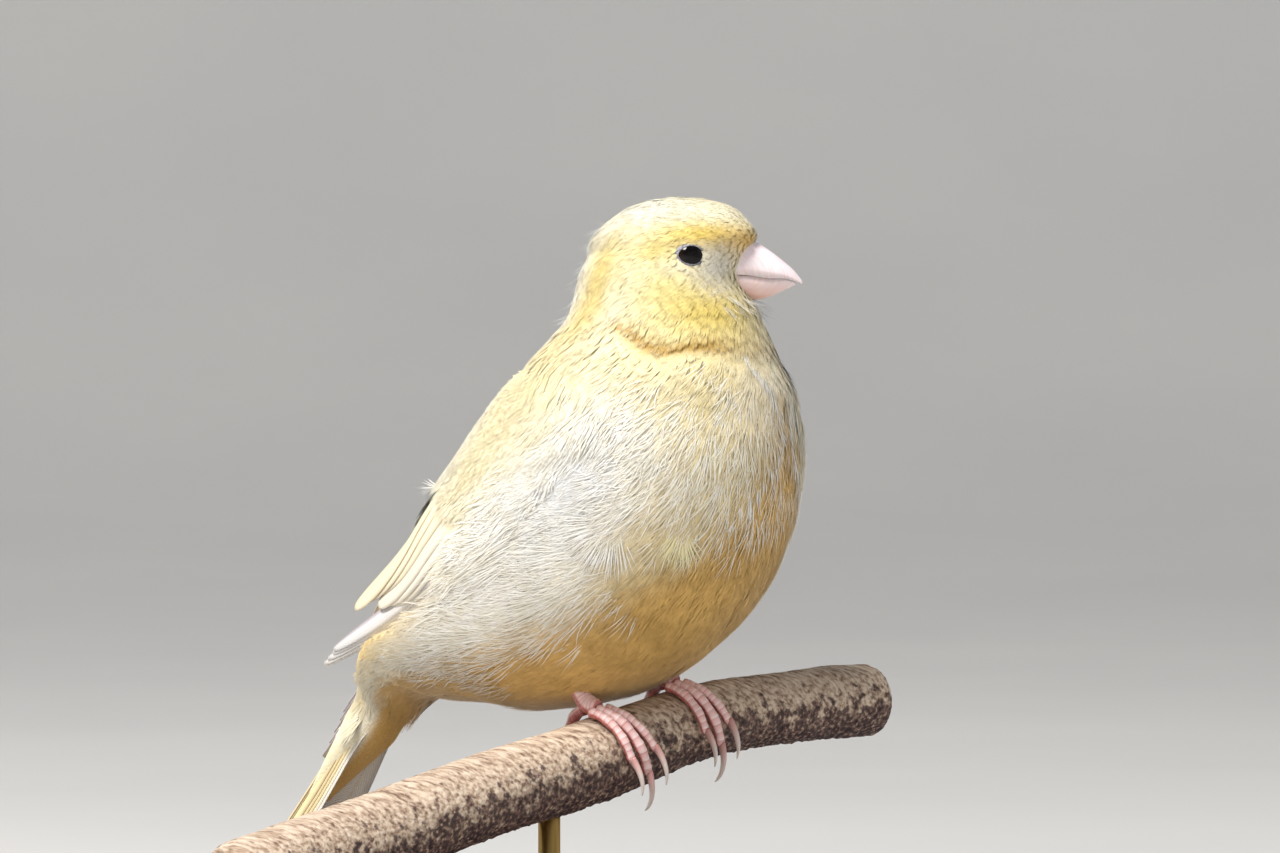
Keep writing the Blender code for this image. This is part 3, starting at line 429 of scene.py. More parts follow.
# Where the white flanks end and the golden belly begins, a gold deepened by painted shade under the body and
# the tail's root: stations and angles along it.
BELLY_STATIONS = (-2.0, 0.0, 2.0, 3.0, 3.75, 4.4, 5.2, 6.0, 6.5, 7.2, 7.8, 8.4)
BELLY_ANGLES = (132, 122, 108, 106, 112, 116, 126, 142, 155, 167, 177, 190)
BELLY_EDGE = (-8, 14)
BELLY_GOLD_AND_SHADE, BELLY_SHADE_STRENGTH = "#DFB05C", 0.88


def collar_near(stations, angles, spread=1.0):
    """How near many places are to the golden line under the cheek, 1 on it and fainter at its ends."""
    angles = np.abs((np.asarray(angles) + 180) % 360 - 180)
    line = np.interp(angles, COLLAR_ANGLES, COLLAR_STATIONS)
    ends = smooth_step(angles, 60, 76) * (1 - 0.6 * smooth_step(angles, 126, 150))
    return np.exp(-(((stations - line) / (COLLAR_REACH * spread)) ** 2)) * ends


def plumage_colours(stations, angles):
    """The plumage's colour at many places, painted shade included, as linear red, green and blue."""
    sized = np.abs((np.asarray(angles) + 180) % 360 - 180)
    found = np.broadcast_to(linear(GROUND_COLOUR)[:3], (*np.shape(stations), 3)).copy()
    patches = []
    for colour, station, angle, reach, spread, strength in MARKINGS_AND_SHADE:
        near = np.exp(-(((stations - station) / reach) ** 2) - ((sized - angle) / spread) ** 2)
        patches.append((colour, strength * np.sqrt(near)))
    # The golden belly and the golden line under the cheek are deepened with painted shade.
    past = sized - np.interp(stations, BELLY_STATIONS, BELLY_ANGLES)
    patches.append((BELLY_GOLD_AND_SHADE, BELLY_SHADE_STRENGTH * smooth_step(past, *BELLY_EDGE)))
    patches.append((COLLAR_GOLD_AND_SHADE, COLLAR_SHADE_STRENGTH * collar_near(stations, sized)))
    for colour, share in patches:
        found += (np.array(linear(colour)[:3]) - found) * share[..., None]
    return found


def paint(mesh, colours):
    """Keeps a colour for each point, which the plumage's materials read."""
    layer = mesh.color_attributes.new("coat", "FLOAT_COLOR", "POINT")
    full = np.ones((len(mesh.vertices), 4), np.float32)
    full[:, :3] = colours
    layer.data.foreach_set("color", full.ravel())


def blend(tree, share, one, other, way="MULTIPLY"):
    """One colour multiplied or mixed with another."""
    inputs = {"Factor": share, 6: one, 7: other}
    return node(tree, "ShaderNodeMix", inputs, data_type="RGBA", blend_type=way).outputs[2]


def roughen(tree, shader, height, strength, distance, **settings):
    """Fine bumps on a material, over those that it has."""
    inputs = {"Strength": strength, "Distance": distance, "Height": height}
    for link in shader.inputs["Normal"].links:
        inputs["Normal"] = link.from_socket
    made = node(tree, "ShaderNodeBump", inputs, **settings)
    tree.links.new(made.outputs["Normal"], shader.inputs["Normal"])


down_skin, tree, shader = finish("downy_skin", {"Roughness": 0.9})
coat = node(tree, "ShaderNodeAttribute", attribute_name="coat").outputs["Color"]
down = cloudy(tree, object_place(tree), 2500.0, 3.0)
shade = ramp(tree, down, (0.3, "#EADFC0"), (0.7, "#FFFFFF"))
tree.links.new(blend(tree, 0.8, coat, shade), shader.inputs["Base Color"])
roughen(tree, shader, down, 0.4, 0.0003)

bm = bmesh.new()
sides = np.arange(SKIN_SIDES) * 360 / SKIN_SIDES
rings, marks = [], []
for spot in np.linspace(0.2 - CONE_ROWS, LAST_STATION + 0.94, SKIN_RINGS):
    depth = np.interp(spot, *zip(*SKIN_DEPTH))
    spots = np.full(SKIN_SIDES, spot)
    out = over_wing(spots, (sides + 180) % 360 - 180) - depth - bed_depth(spots, sides)
    rings.append(skin_points(spots, sides, out) - (0, 0, depth * (spot > LAST_STATION)))
    marks.append([(spot, side, 0) for side in sides])
loft(bm, rings, marks)
skin = new_piece("skin", bm, down_skin)
places = np.zeros(len(skin.data.vertices) * 3, np.float32)
skin.data.attributes["lay"].data.foreach_get("vector", places)
places = places.reshape(-1, 3)
paint(skin.data, plumage_colours(places[:, 0], places[:, 1]) * SKIN_SHADE)
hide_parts("rump", "torso", "neck", "head")
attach(skin, "root")


# The coat: some thousands of small body feathers, each a tuft of silky barbs that lies along the body, root
# under the one before. Short and close on the face, long and loose on the flanks. Barbs are drawn about
# twice as thick as real ones, because finer ones would not show.
BARB_RINGS = (0.0, 0.55)
STRAND_RINGS = (0.0, 0.3, 0.6)
BILL_ROOT = PERCH_POINT + turned((NECK_AXIS_X + 15.5, 0.0, 74.6))
# Where the lie leaves the straight line to the tail: station, angle, reach in both, degrees to the back.
LEANS = ((5.8, 98, 1.5, 24, 46), (7.2, 120, 1.4, 28, 30), (3.9, 108, 0.9, 20, 24))
WAVE_REACH, WAVE_DEGREES, SWAY_DEGREES = 7.0, 9.0, 3.0
# The eyes: their reach before the neck's axis and height, how deep the ball's centre lies, how far it tips
# up, and half the length and height of the oval round it that has no feathers.
EYE_AT = (4.9, 75.4)
EYE_DEPTH, EYE_TIP = 1.9, 0.08
EYE_CLEAR = (2.22, 1.76)
# A barb's ridge as a share of its thickness, and how round it shades. Then, as shares of a tuft's length and
# width: where its last barb leaves, how much shorter the outer ones are, how long they all are, how far they
# stand apart at the root and at the tip, and how much they stray and bow.
BARB_RIDGE, BARB_ROUND = 0.07, 0.20
BARB_START, BARB_SHORTER, BARB_LENGTHS = 0.22, 0.30, (0.88, 1.06)
BARB_ROOTS, BARB_TIPS, BARB_STRAY, BARB_BOW = 0.20, 0.5, 0.05, 0.04
# The markings are read at these shares of each feather's length.
COLOUR_SHARES = (0.0, 0.5, 1.0)
# The coat's soft lumps: their reach and height, and the step that finds their slope. Then the dip along the
# golden line under the cheek, and each tuft's patch on the bake's map.
LUMP_REACH, LUMP_HEIGHT, LUMP_STEP = 9.0, 0.25, 0.6
COLLAR_FURROW = 0.35
BAKE_PATCH = 0.003


def steps_along(stations, angles, way, reach):
    """How station and angle change with a short way over the plumage."""
    along, around = slopes(stations, angles)
    along, around = along / (2 * SLOPE_STEP), around / 2
    aa, ab, bb = ((p * q).sum(-1) for p, q in ((along, along), (along, around), (around, around)))
    p, q = (along * way).sum(-1), (around * way).sum(-1)
    room = np.maximum(aa * bb - ab * ab, 1e-6)
    ds = np.clip((p * bb - q * ab) / room * reach, -0.9, 0.9)
    return ds, np.clip((q * aa - p * ab) / room * reach, -40, 40)


def bend_of(stations, angles, normal, way, reach=2.0):
    """How sharply the plumage curves away along a direction, per millimetre."""
    ds, da = steps_along(stations, angles, way, reach)
    here = skin_points(stations, angles)
    fall = skin_points(stations + ds, angles + da) + skin_points(stations - ds, angles - da) - 2 * here
    return np.clip(-(fall * normal).sum(-1) / reach**2, -0.07, 0.16)


def scatter(spacing, low, high, seed):
    """Evenly strewn stations and angles, about the given spacing apart."""
    rng = np.random.default_rng(seed)
    step, turn = 0.05, 1.5
    rows = np.arange(low, high, step)
    columns = np.arange(-180, 180, turn)
    stations, angles = np.meshgrid(rows, columns, indexing="ij")
    along = skin_points(stations + step, angles) - skin_points(stations, angles)
    around = skin_points(stations, angles + turn) - skin_points(stations, angles)
    cells = np.linalg.norm(np.cross(along, around), axis=-1) / spacing(stations, angles) ** 2
    filled = np.cumsum(cells, axis=1) + rng.random((len(rows), 1))
    chosen = np.diff(np.floor(filled), axis=1, prepend=np.floor(filled[:, :1])) > 0
    count = chosen.sum()
    return (
        stations[chosen] + step * rng.random(count),
        angles[chosen] + turn * rng.random(count),
    )


def coat_lie(stations, angles, here, normal, to_tail, around, rng):
    """Which way each feather lies: to the tail on the body, away from the bill on the head."""
    sized = np.abs(angles)
    lean = np.zeros_like(stations)
    for station, angle, reach, spread, degrees in LEANS:
        lean += degrees * np.exp(-(((stations - station) / reach) ** 2) - ((sized - angle) / spread) ** 2)
    lean = np.radians(lean)[:, None]
    on_body = to_tail * np.cos(lean) - around * np.sign(angles)[:, None] * np.sin(lean)
    on_head = unit(here - BILL_ROOT) - np.array((0, 0, 0.45))
    share = smooth_step(here[:, 2] - PERCH_POINT[2], 60, 68)[:, None]
    way = unit(on_head) * share + on_body * (1 - share)
    way = unit(way - normal * (way * normal).sum(-1, keepdims=True))
    wave = [noise.noise(Vector(place / WAVE_REACH)) for place in here]
    sway = np.radians(rng.normal(0, SWAY_DEGREES, len(stations)) + WAVE_DEGREES * np.array(wave))[:, None]
    return unit(way * np.cos(sway) + np.cross(normal, way) * np.sin(sway))


def barb_mesh(name, tufts, barbs, rings, material, seed):
    """One piece from many tufts.

    Tufts is a dict of arrays with a row for each tuft: root, normal, way, length, width, thick, depth, lift,
    fan, bends, colour and spot. Each barb is a closed three-sided sliver, root sunk and tip lifted.
    """
    rng = np.random.default_rng(seed)
    count = len(tufts["length"])
    shape = (count, barbs)
    root, normal, way = (tufts[key][:, None] for key in ("root", "normal", "way"))
    length, width, thick, depth = (tufts[key][:, None] for key in ("length", "width", "thick", "depth"))
    long_bend, cross_bend = tufts["bends"][:, :1], tufts["bends"][:, 1:]
    side = np.cross(normal, way)
    slot = (np.arange(barbs) + 0.5) / barbs * 2 - 1 + rng.uniform(-0.5, 0.5, shape) / barbs
    start = length * rng.uniform(0.0, BARB_START, shape)
    end = length * (1 - BARB_SHORTER * slot**2) * rng.uniform(*BARB_LENGTHS, shape)
    root_across = width * BARB_ROOTS * slot
    tip_across = width * BARB_TIPS * slot * tufts["fan"][:, None] + width * rng.normal(0, BARB_STRAY, shape)
    bow = width * rng.normal(0, BARB_BOW, shape)
    lift = tufts["lift"][:, None] * rng.uniform(0.2, 1.0, shape)
    slant = (tip_across - root_across) / np.maximum(end - start, 0.1)
    places, facings = [], []
    for share in (*rings, 1.0):
        along = start + (end - start) * share
        across = root_across + (tip_across - root_across) * share**1.3 + bow * math.sin(math.pi * share)
        height = -depth * (1 - share) ** 2.2 + lift * share**2 - 0.12 * depth
        half = 0.5 * thick * (1 - 0.15 * share)
        for edge, rise in ((0, 0),) if share == 1 else ((1, 0), (-1, 0), (0, BARB_RIDGE)):
            x = along - edge * half * slant
            y = across + edge * half
            sag = 0.5 * (long_bend * x * x + cross_bend * y * y)
            h = height + rise * half * 2 - sag
            places.append(root + way * x[..., None] + side * y[..., None] + normal * h[..., None])
            turn = cross_bend * y + edge * BARB_ROUND
            facings.append(normal + way * (long_bend * x)[..., None] + side * turn[..., None])
    points = np.stack(places, 2)
    per_barb = points.shape[2]
    faces = [(0, 1, 2)]
    for r in range(len(rings) - 1):
        a, b = 3 * r, 3 * r + 3
        faces += [(a + 2, b + 2, b, a), (a + 1, b + 1, b + 2, a + 2), (a, b, b + 1, a + 1)]
    a, tip = 3 * (len(rings) - 1), 3 * len(rings)
    faces += [(a + 2, tip, a), (a + 1, tip, a + 2), (a, tip, a + 1)]
    corners = np.concatenate(faces)
    sizes = np.array([len(face) for face in faces])
    total = count * barbs
    loops = (corners[None] + per_barb * np.arange(total)[:, None]).ravel()
    sizes = np.tile(sizes, total)
    mesh = bpy.data.meshes.new(name)
    mesh.vertices.add(total * per_barb)
    mesh.vertices.foreach_set("co", (points.reshape(-1, 3) * MM).astype(np.float32).ravel())
    mesh.loops.add(len(loops))
    mesh.loops.foreach_set("vertex_index", loops.astype(np.int32))
    mesh.polygons.add(len(sizes))
    mesh.polygons.foreach_set("loop_start", (np.cumsum(sizes) - sizes).astype(np.int32))
    mesh.update(calc_edges=True)
    # A barb shades as part of the coat, with a little roundness of its own.
    mesh.shade_smooth()
    facings = unit(np.stack(facings, 2)).reshape(-1, 3).astype(np.float32)
    mesh.normals_split_custom_set_from_vertices(facings)
    # Each tuft's colour, deeper at the root and paler at the tip, with a little of its own for each barb.
    along = np.array([share for share in rings for _ in range(3)] + [1.0])
    own = rng.normal(1.0, 0.035, (*shape, 1))
    tone = (0.88 + 0.14 * along[None, None] ** 0.7) * own
    warm = (1 - along) * 0.10
    tint = np.stack([tone * (1 + warm * 0.3), tone, tone * (1 - warm)], -1)
    colour = tufts["colour"]
    if colour.ndim == 2:
        colour = np.repeat(colour[:, None], len(COLOUR_SHARES), 1)
    near, far = (np.clip(along * 2 - part, 0, 1)[None, :, None] for part in (0, 1))
    colour = colour[:, :1] + (colour[:, 1:2] - colour[:, :1]) * near + (colour[:, 2:] - colour[:, 1:2]) * far
    paint(mesh, np.clip(colour[:, None] * tint, 0.0, 0.95).reshape(-1, 3))
    # A patch on the bake's own map for each tuft, at its root's place on the unwrapped skin.
    u = np.array([v for _ in rings for v in (0.5, -0.5, 0.0)] + [0.0])
    v = np.array([share - 0.1 * (k == 2) for share in rings for k in range(3)] + [1.0])
    flat = tufts["spot"][:, None, None] + np.stack([u, v], -1)[None, None] * BAKE_PATCH
    flat = np.broadcast_to(flat, (*shape, per_barb, 2)).reshape(-1, 2)
    layer = mesh.uv_layers.new(name="OFBake")
    layer.data.foreach_set("uv", flat[loops].astype(np.float32).ravel())
    mesh.materials.append(material)
    made = bpy.data.objects.new(name, mesh)
    bpy.context.scene.collection.objects.link(made)
    return made


def bake_spot(stations, angles):
    """A root's place on the unwrapped skin: round the body, and from the tail to the crown."""
    across = 0.02 + 0.95 * ((angles + 180) % 360) / 360
    return np.stack([across, 0.02 + 0.95 * np.clip(stations + CONE_ROWS, 0, 20) / 20], -1)


silky_barbs, tree, shader = finish(
    "silky_feather_barbs",
    {"Roughness": 0.62, "Sheen Weight": 0.25, "Sheen Roughness": 0.5, "Specular IOR Level": 0.35},
)
coat = node(tree, "ShaderNodeAttribute", attribute_name="coat").outputs["Color"]
shade = ramp(tree, cloudy(tree, object_place(tree), 420.0, 3.0), (0.32, "#F0ECE0"), (0.62, "#FFFFFF"))
tree.links.new(blend(tree, 0.7, coat, shade), shader.inputs["Base Color"])


def eye_frame(side):
    """An eye's centre, and the turn that sends +Z out of the side of the head."""
    reach, height = EYE_AT
    stations = np.arange(10, LAST_STATION, 0.02) + CONE_ROWS
    station = stations[spline(STATIONS, stations)[:, 1] >= height][0]
    row = spline(STATIONS, station)
    middle = row[0] + (row[2] - row[0]) * row[5]
    arm = row[2] - middle
    share = (NECK_AXIS_X + reach - middle) / arm
    rest = math.sqrt(1 - share * share)
    place = np.array((NECK_AXIS_X + reach, side * row[4] * rest, height))
    normal = Vector((share / arm, side * rest / row[4], 0)).normalized()
    normal = (normal + UP * EYE_TIP).normalized()
    out = Matrix.Rotation(HEAD_YAW, 3, "Z") @ normal
    centre = PERCH_POINT + turned(place - np.array(normal) * EYE_DEPTH)
    return Vector(centre), UP.rotation_difference(out).to_matrix()


def eye_reach(points):
    """How far points are from the nearer eye, in the opening's own widths: 1 at its rim."""
    found = np.full(len(points), 99.0)
    for side in (-1, 1):
        centre, turn = eye_frame(side)
        local = (points - np.array(centre)) @ np.array(turn)
        ahead = np.array(turn.inverted() @ Matrix.Rotation(HEAD_YAW, 3, "Z") @ Vector((1, 0, 0)))[:2]
        ahead = ahead / np.linalg.norm(ahead)
        long = local[:, :2] @ ahead
        high = local[:, :2] @ np.array((-ahead[1], ahead[0]))
        away = np.hypot(long / EYE_CLEAR[0], high / EYE_CLEAR[1])
        found = np.where(local[:, 2] > 0, np.minimum(found, away), found)
    return found


def lumps(places):
    """A slow unevenness between -1 and 1."""
    return np.array([noise.noise(Vector(place / LUMP_REACH)) for place in places])


def body_tufts(stations, angles, length, seed, over=0.0, degrees=None, **facts):
    """The arrays that barb_mesh reads, for feathers rooted in the skin.

    Over lifts the roots, and degrees turn a feather from the straight line to the tail towards the back.
    """
    rng = np.random.default_rng(seed)
    here = skin_points(stations, angles)
    along, around = (unit(arrows) for arrows in slopes(stations, angles))
    normal = unit(np.cross(along, around))
    if degrees is None:
        way = coat_lie(stations, angles, here, normal, -along, around, rng)
    else:
        turn = np.radians(degrees)[:, None]
        way = unit(-along * np.cos(turn) - around * np.sign(angles)[:, None] * np.sin(turn))
    side = np.cross(normal, way)
    bends = [bend_of(stations, angles, normal, arrow) for arrow in (way, side)]
    # The coat lies in soft lumps, lower towards the face.
    tall = LUMP_HEIGHT * smooth_step(here[:, 2] - PERCH_POINT[2], 74, 56) * smooth_step(stations, 1.5, 3.0)
    steepness = []
    for arrow in (way, side):
        rise = lumps(here + arrow * LUMP_STEP) - lumps(here - arrow * LUMP_STEP)
        steepness.append((tall * rise / (2 * LUMP_STEP))[:, None])
    here = here + normal * (tall * lumps(here) - COLLAR_FURROW * collar_near(stations, angles))[:, None]
    normal = unit(normal - way * steepness[0] - side * steepness[1])
    way = unit(way - normal * (way * normal).sum(-1, keepdims=True))
    colours = []
    for share in COLOUR_SHARES:
        ds, da = steps_along(stations, angles, way, share * length)
        colours.append(plumage_colours(stations + ds, angles + da))
    made = {
        "root": here + normal * (over_wing(stations, angles) + over)[:, None],
        "normal": normal,
        "way": way,
        "length": length,
        "bends": np.stack(bends, -1),
        "colour": np.stack(colours, 1),
        "spot": bake_spot(stations, angles),
    }
    for key, value in facts.items():
        made[key] = np.broadcast_to(np.asarray(value, float), len(stations))
    return made


def body_length(stations, angles):
    """How long the body's feathers are, in millimetres."""
    sized = np.abs(angles)
    base = np.interp(stations, (-2, 0, 1.5, 3.5, 5.5, 7.5, 9.0, 10.3), (5, 5.5, 7, 8, 8.2, 6.4, 4.6, 3.5))
    back = smooth_step(sized, 75, 35)
    return base * (1 - 0.25 * back)


def head_length(points):
    """How long the head's feathers are: bristle-short round the bill, longer towards the nape."""
    away = np.linalg.norm(points - BILL_ROOT, axis=-1)
    return np.interp(away, (3, 6, 9, 14, 20, 28), (0.9, 1.2, 1.6, 2.3, 3.0, 3.9))


def pick(tufts, chosen):
    return {key: value[chosen] for key, value in tufts.items()}


# How far in over the wing the coat's roots go: from below by station, from the front, and from the back.
FLANK_OVER = ((2.2, -1.0), (3.6, -1.5), (4.3, -0.5), (5.0, 5.0), (6.2, 8.0), (7.0, 8.0), (7.8, 7.0))
FRONT_OVER, BACK_OVER = 2.5, 3.0


def bury(stations, angles):
    """True where the coat has roots of its own, and no folded wing hides it."""
    below, front, above = in_wing(stations, angles)
    over = below < np.interp(stations, *zip(*FLANK_OVER))
    return over | (front < FRONT_OVER) | (above < BACK_OVER)


def body_spacing(stations, _):
    """Feathers stand a little closer at the neck."""
    return np.interp(stations, (0, 8.5, 10.2), (1.55, 1.5, 1.15))


stations, angles = scatter(body_spacing, -0.8, 10.2, 11)
kept = bury(stations, angles) & ((stations > 0.5) | (np.abs(angles) < 98))
stations, angles = stations[kept], angles[kept]
# Below the wing's far half the feathers are short and lie low, so that its quills stay in sight. Those at
# the golden line under the cheek are short as well, which keeps the line narrow.
inside = np.minimum.reduce(in_wing(stations, angles))
under_tip = smooth_step(inside, -9, -2) * smooth_step(stations, 4.7, 3.7)
length = body_length(stations, angles) * (1 - 0.5 * under_tip)
length = length * (1 - 0.5 * collar_near(stations, angles, 4.0))
body = body_tufts(
    stations,
    angles,
    length,
    21,
    -0.1 - 0.5 * under_tip - np.interp(stations, (-0.8, 0.6), (0.9, 0.0)),
    width=length * 0.42,
    thick=np.interp(stations, (7, 10), (0.15, 0.12)),
    depth=np.interp(stations, (0, 3, 6.5, 8, 10.3), (0.3, 0.45, 0.45, 0.32, 0.12)),
    lift=np.interp(stations, (-0.5, 2, 7, 10), (0.0, 0.14, 0.13, 0.03)),
    fan=1.15,
)
low = np.abs(angles) >= 75
flank, breast = (stations >= 1.9) & (stations < 6.2) & low, (stations >= 6.2) & low
areas = {
    "coat_rump": stations < 1.9,
    "coat_back": (stations >= 1.9) & ~low,
    "coat_flank_right": flank & (angles < 0),
    "coat_flank_left": flank & (angles >= 0),
    "coat_breast_right": breast & (angles < 0),
    "coat_breast_left": breast & (angles >= 0),
}
for number, (name, chosen) in enumerate(areas.items()):
    made = barb_mesh(name, pick(body, chosen), 16, BARB_RINGS, silky_barbs, 31 + number)
    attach(made, "root")

# Loose white barbs that lie over the flanks and the breast's side, some of them in open fans. Zones:
# station, angle, and reach in both.
WHITE_BARB, CREAM_BARB = "#FCFBF8", "#F7EDBE"
STRAND_ZONES = ((5.6, 102, 1.7, 26), (7.4, 135, 1.1, 40), (3.6, 114, 1.0, 18))
STRAND_SPACING, STRAND_LONGER, STRAND_WHITE = 1.9, 1.25, 0.75
stations, angles = scatter(lambda s, a: STRAND_SPACING, 1.5, 9.0, 13)
wanted = np.zeros_like(stations)
for station, angle, reach, spread in STRAND_ZONES:
    near = np.exp(-(((stations - station) / reach) ** 2) - ((np.abs(angles) - angle) / spread) ** 2)
    wanted = np.maximum(wanted, near)
kept = bury(stations, angles) & (wanted > np.random.default_rng(14).uniform(0.1, 0.9, len(stations)))
stations, angles = stations[kept], angles[kept]
length = body_length(stations, angles) * STRAND_LONGER
strands = body_tufts(stations, angles, length, 23, width=6.0, thick=0.14, depth=0.5, lift=0.45, fan=1.2)
strands["colour"] = strands["colour"] * (1 - STRAND_WHITE) + np.array(linear(WHITE_BARB)[:3]) * STRAND_WHITE
made = barb_mesh("coat_strands", strands, 8, STRAND_RINGS, silky_barbs, 43)
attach(made, "root")


def head_spacing(stations, angles):
    """Feathers stand closest round the bill."""
    away = np.linalg.norm(skin_points(stations, angles) - BILL_ROOT, axis=-1)
    return np.interp(away, (3, 8, 16, 26), (0.46, 0.56, 0.76, 0.95))


stations, angles = scatter(head_spacing, 10.0, 16.9, 12)
kept = eye_reach(skin_points(stations, angles)) > 1.0
stations, angles = stations[kept], angles[kept]
here = skin_points(stations, angles)
length = head_length(here) * (0.45 + 0.55 * smooth_step(eye_reach(here), 1.0, 1.9))
head = body_tufts(
    stations,
    angles,
    length,
    22,
    width=length * 0.6,
    thick=np.interp(length, (1.0, 3.0), (0.10, 0.13)),
    depth=np.minimum(0.10, 0.06 * length),
    lift=0.015 * length,
    fan=1.1,
)
for number, (name, chosen) in enumerate((("coat_head_right", angles < 0), ("coat_head_left", angles >= 0))):
    made = barb_mesh(name, pick(head, chosen), 9, BARB_RINGS, silky_barbs, 41 + number)
    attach(made, "root")

# A smooth veil of blue-white feathers over the folded wing's lower front corner: its middle by station and
# angle, its reach in both, and how far apart, how long and how high over the wing its feathers are.
VEIL_AT, VEIL_REACH = (6.8, 97), (1.0, 13)
VEIL_SPACING, VEIL_LENGTH, VEIL_OVER = 1.15, 8.5, 0.35
stations, angles = scatter(lambda s, a: VEIL_SPACING, 5.7, 7.8, 15)
away = np.hypot((stations - VEIL_AT[0]) / VEIL_REACH[0], (np.abs(angles) - VEIL_AT[1]) / VEIL_REACH[1])
stations, angles = stations[away < 1], angles[away < 1]
length = np.full_like(stations, VEIL_LENGTH)
veil = body_tufts(
    stations, angles, length, 24, VEIL_OVER, width=3.6, thick=0.15, depth=1.0, lift=0.1, fan=1.1
)
made = barb_mesh("coat_flank_veil", veil, 16, BARB_RINGS, silky_barbs, 44)
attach(made, "root")

# Feathers that stand apart: station, angle, degrees towards the back, length. Long barbs part and spread
# over the flank, one short fan lies on the breast's side, white tips ruff its front, a tuft stands out of
# the back, and fine bristles stand round the bill and stray from the nape.
FLANK_FAN = [
    (6.15, -116, turn, 8.5 + 2.5 * math.cos(math.radians(turn - 30)))
    for turn in range(-36, 76, 10)
]
BREAST_FAN = [(6.3, -138, turn, 8.0 - 0.04 * abs(turn + 12)) for turn in range(-42, 19, 12)]
RUFF = [
    (9.1 - 0.12 * i, -150 - 26 * math.sin(math.pi * i / 22), 4 * (i % 3) - 8, 4.0 + 0.5 * (i % 4))
    for i in range(22)
]
BACK_TUFT = [(5.1, -27, turn, 3.6) for turn in (10, 40, 70)]
NAPE_STRAYS = [
    (9.9 + 0.15 * i, -24 + 7.3 * i % 48, 8 * (i % 3) - 8, 3.6 + 0.4 * (i % 4))
    for i in range(30)
]
CHIN_BRISTLES = [
    (10.3 + 0.08 * (i % 6), -179 + 2.2 * i, 6 * (i % 5) - 18, 4.4 + 0.5 * (i % 4))
    for i in range(20)
]
GAPE_BRISTLES = [
    (11.75 - 0.10 * (i % 13), -151 + 1.1 * (i * 7 % 29), 62 - 9.5 * (i % 13), 1.2 + 0.2 * (i % 5))
    for i in range(34)
]
# Name, rows, barbs in each, width, thickness, lift, colour, both sides alike.
APART = (
    ("coat_flank_fan", FLANK_FAN, 7, 3.4, 0.17, 1.2, WHITE_BARB, True),
    ("coat_breast_fan", BREAST_FAN, 8, 2.6, 0.17, 1.2, CREAM_BARB, False),
    ("coat_breast_ruff", RUFF, 6, 1.3, 0.13, 0.7, WHITE_BARB, True),
    ("coat_back_tuft", BACK_TUFT, 4, 1.4, 0.14, 2.2, WHITE_BARB, False),
    ("coat_nape_strays", NAPE_STRAYS, 2, 1.6, 0.11, 2.2, WHITE_BARB, True),
    ("coat_chin_bristles", CHIN_BRISTLES, 3, 1.8, 0.12, 2.4, WHITE_BARB, True),
    ("coat_gape_bristles", GAPE_BRISTLES, 2, 1.0, 0.10, 0.45, WHITE_BARB, True),
)
for number, (name, rows, barbs, width, thick, lift, colour, alike) in enumerate(APART):
    rows = np.array(rows, float)
    if alike:
        rows = np.concatenate([rows, rows * (1, -1, 1, 1)])
    stations, angles, degrees, length = rows.T
    shape = {"width": width, "thick": thick, "depth": 0.5, "lift": lift, "fan": 1.2}
    apart = body_tufts(stations, angles, length, 61 + number, 0.0, degrees, **shape)
    apart["colour"] = np.broadcast_to(linear(colour)[:3], (len(length), 3))
    made = barb_mesh(name, apart, barbs, STRAND_RINGS, silky_barbs, 71 + number)
    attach(made, "root")


# The wings: folded against the body, long silky quills under rows of coverts. Each feather is a thin vane on
# a pale shaft. A folded wing follows the body for over half its length and then runs straight to its tip.
# Rows from the bend: station and angle of the upper edge, then of the lower, and its height over the body.
RIGHT, LEFT = -1, 1
SIDES = ((RIGHT, "right"), (LEFT, "left"))
WING_ROWS = {
    RIGHT: (
        (7.9, 48, 7.4, 92, 0.2),
        (7.1, 24, 6.4, 90, 0.8),
        (5.9, 12, 5.2, 87, 0.6),
        (4.5, 8, 4.0, 80, 0.3),
    ),
    LEFT: (
        (7.7, 48, 7.2, 92, 0.2),
        (6.9, 22, 6.2, 88, 0.8),
        (5.7, 6, 5.0, 79, 0.6),
        (4.3, -2, 3.8, 64, 0.3),
    ),
}
STRAIGHT_FROM, LEAD_STEP = 0.58, 0.04
# The tip: its place, the way its face looks, its width, the share across it that runs to its point, how far
# the straight part bows out, and its height.
WING_TIP = {RIGHT: (-55.2, -6.1, 12.0), LEFT: (-62.4, 2.9, -4.6)}
TIP_FACING = {RIGHT: (-0.20, -0.80, 0.56), LEFT: (-0.84, 0.28, 0.46)}
TIP_WIDTH, TIP_ACROSS = 7.0, 0.76
TIP_BULGE = {RIGHT: -0.8, LEFT: 8.6}
TIP_FACE = 2.6
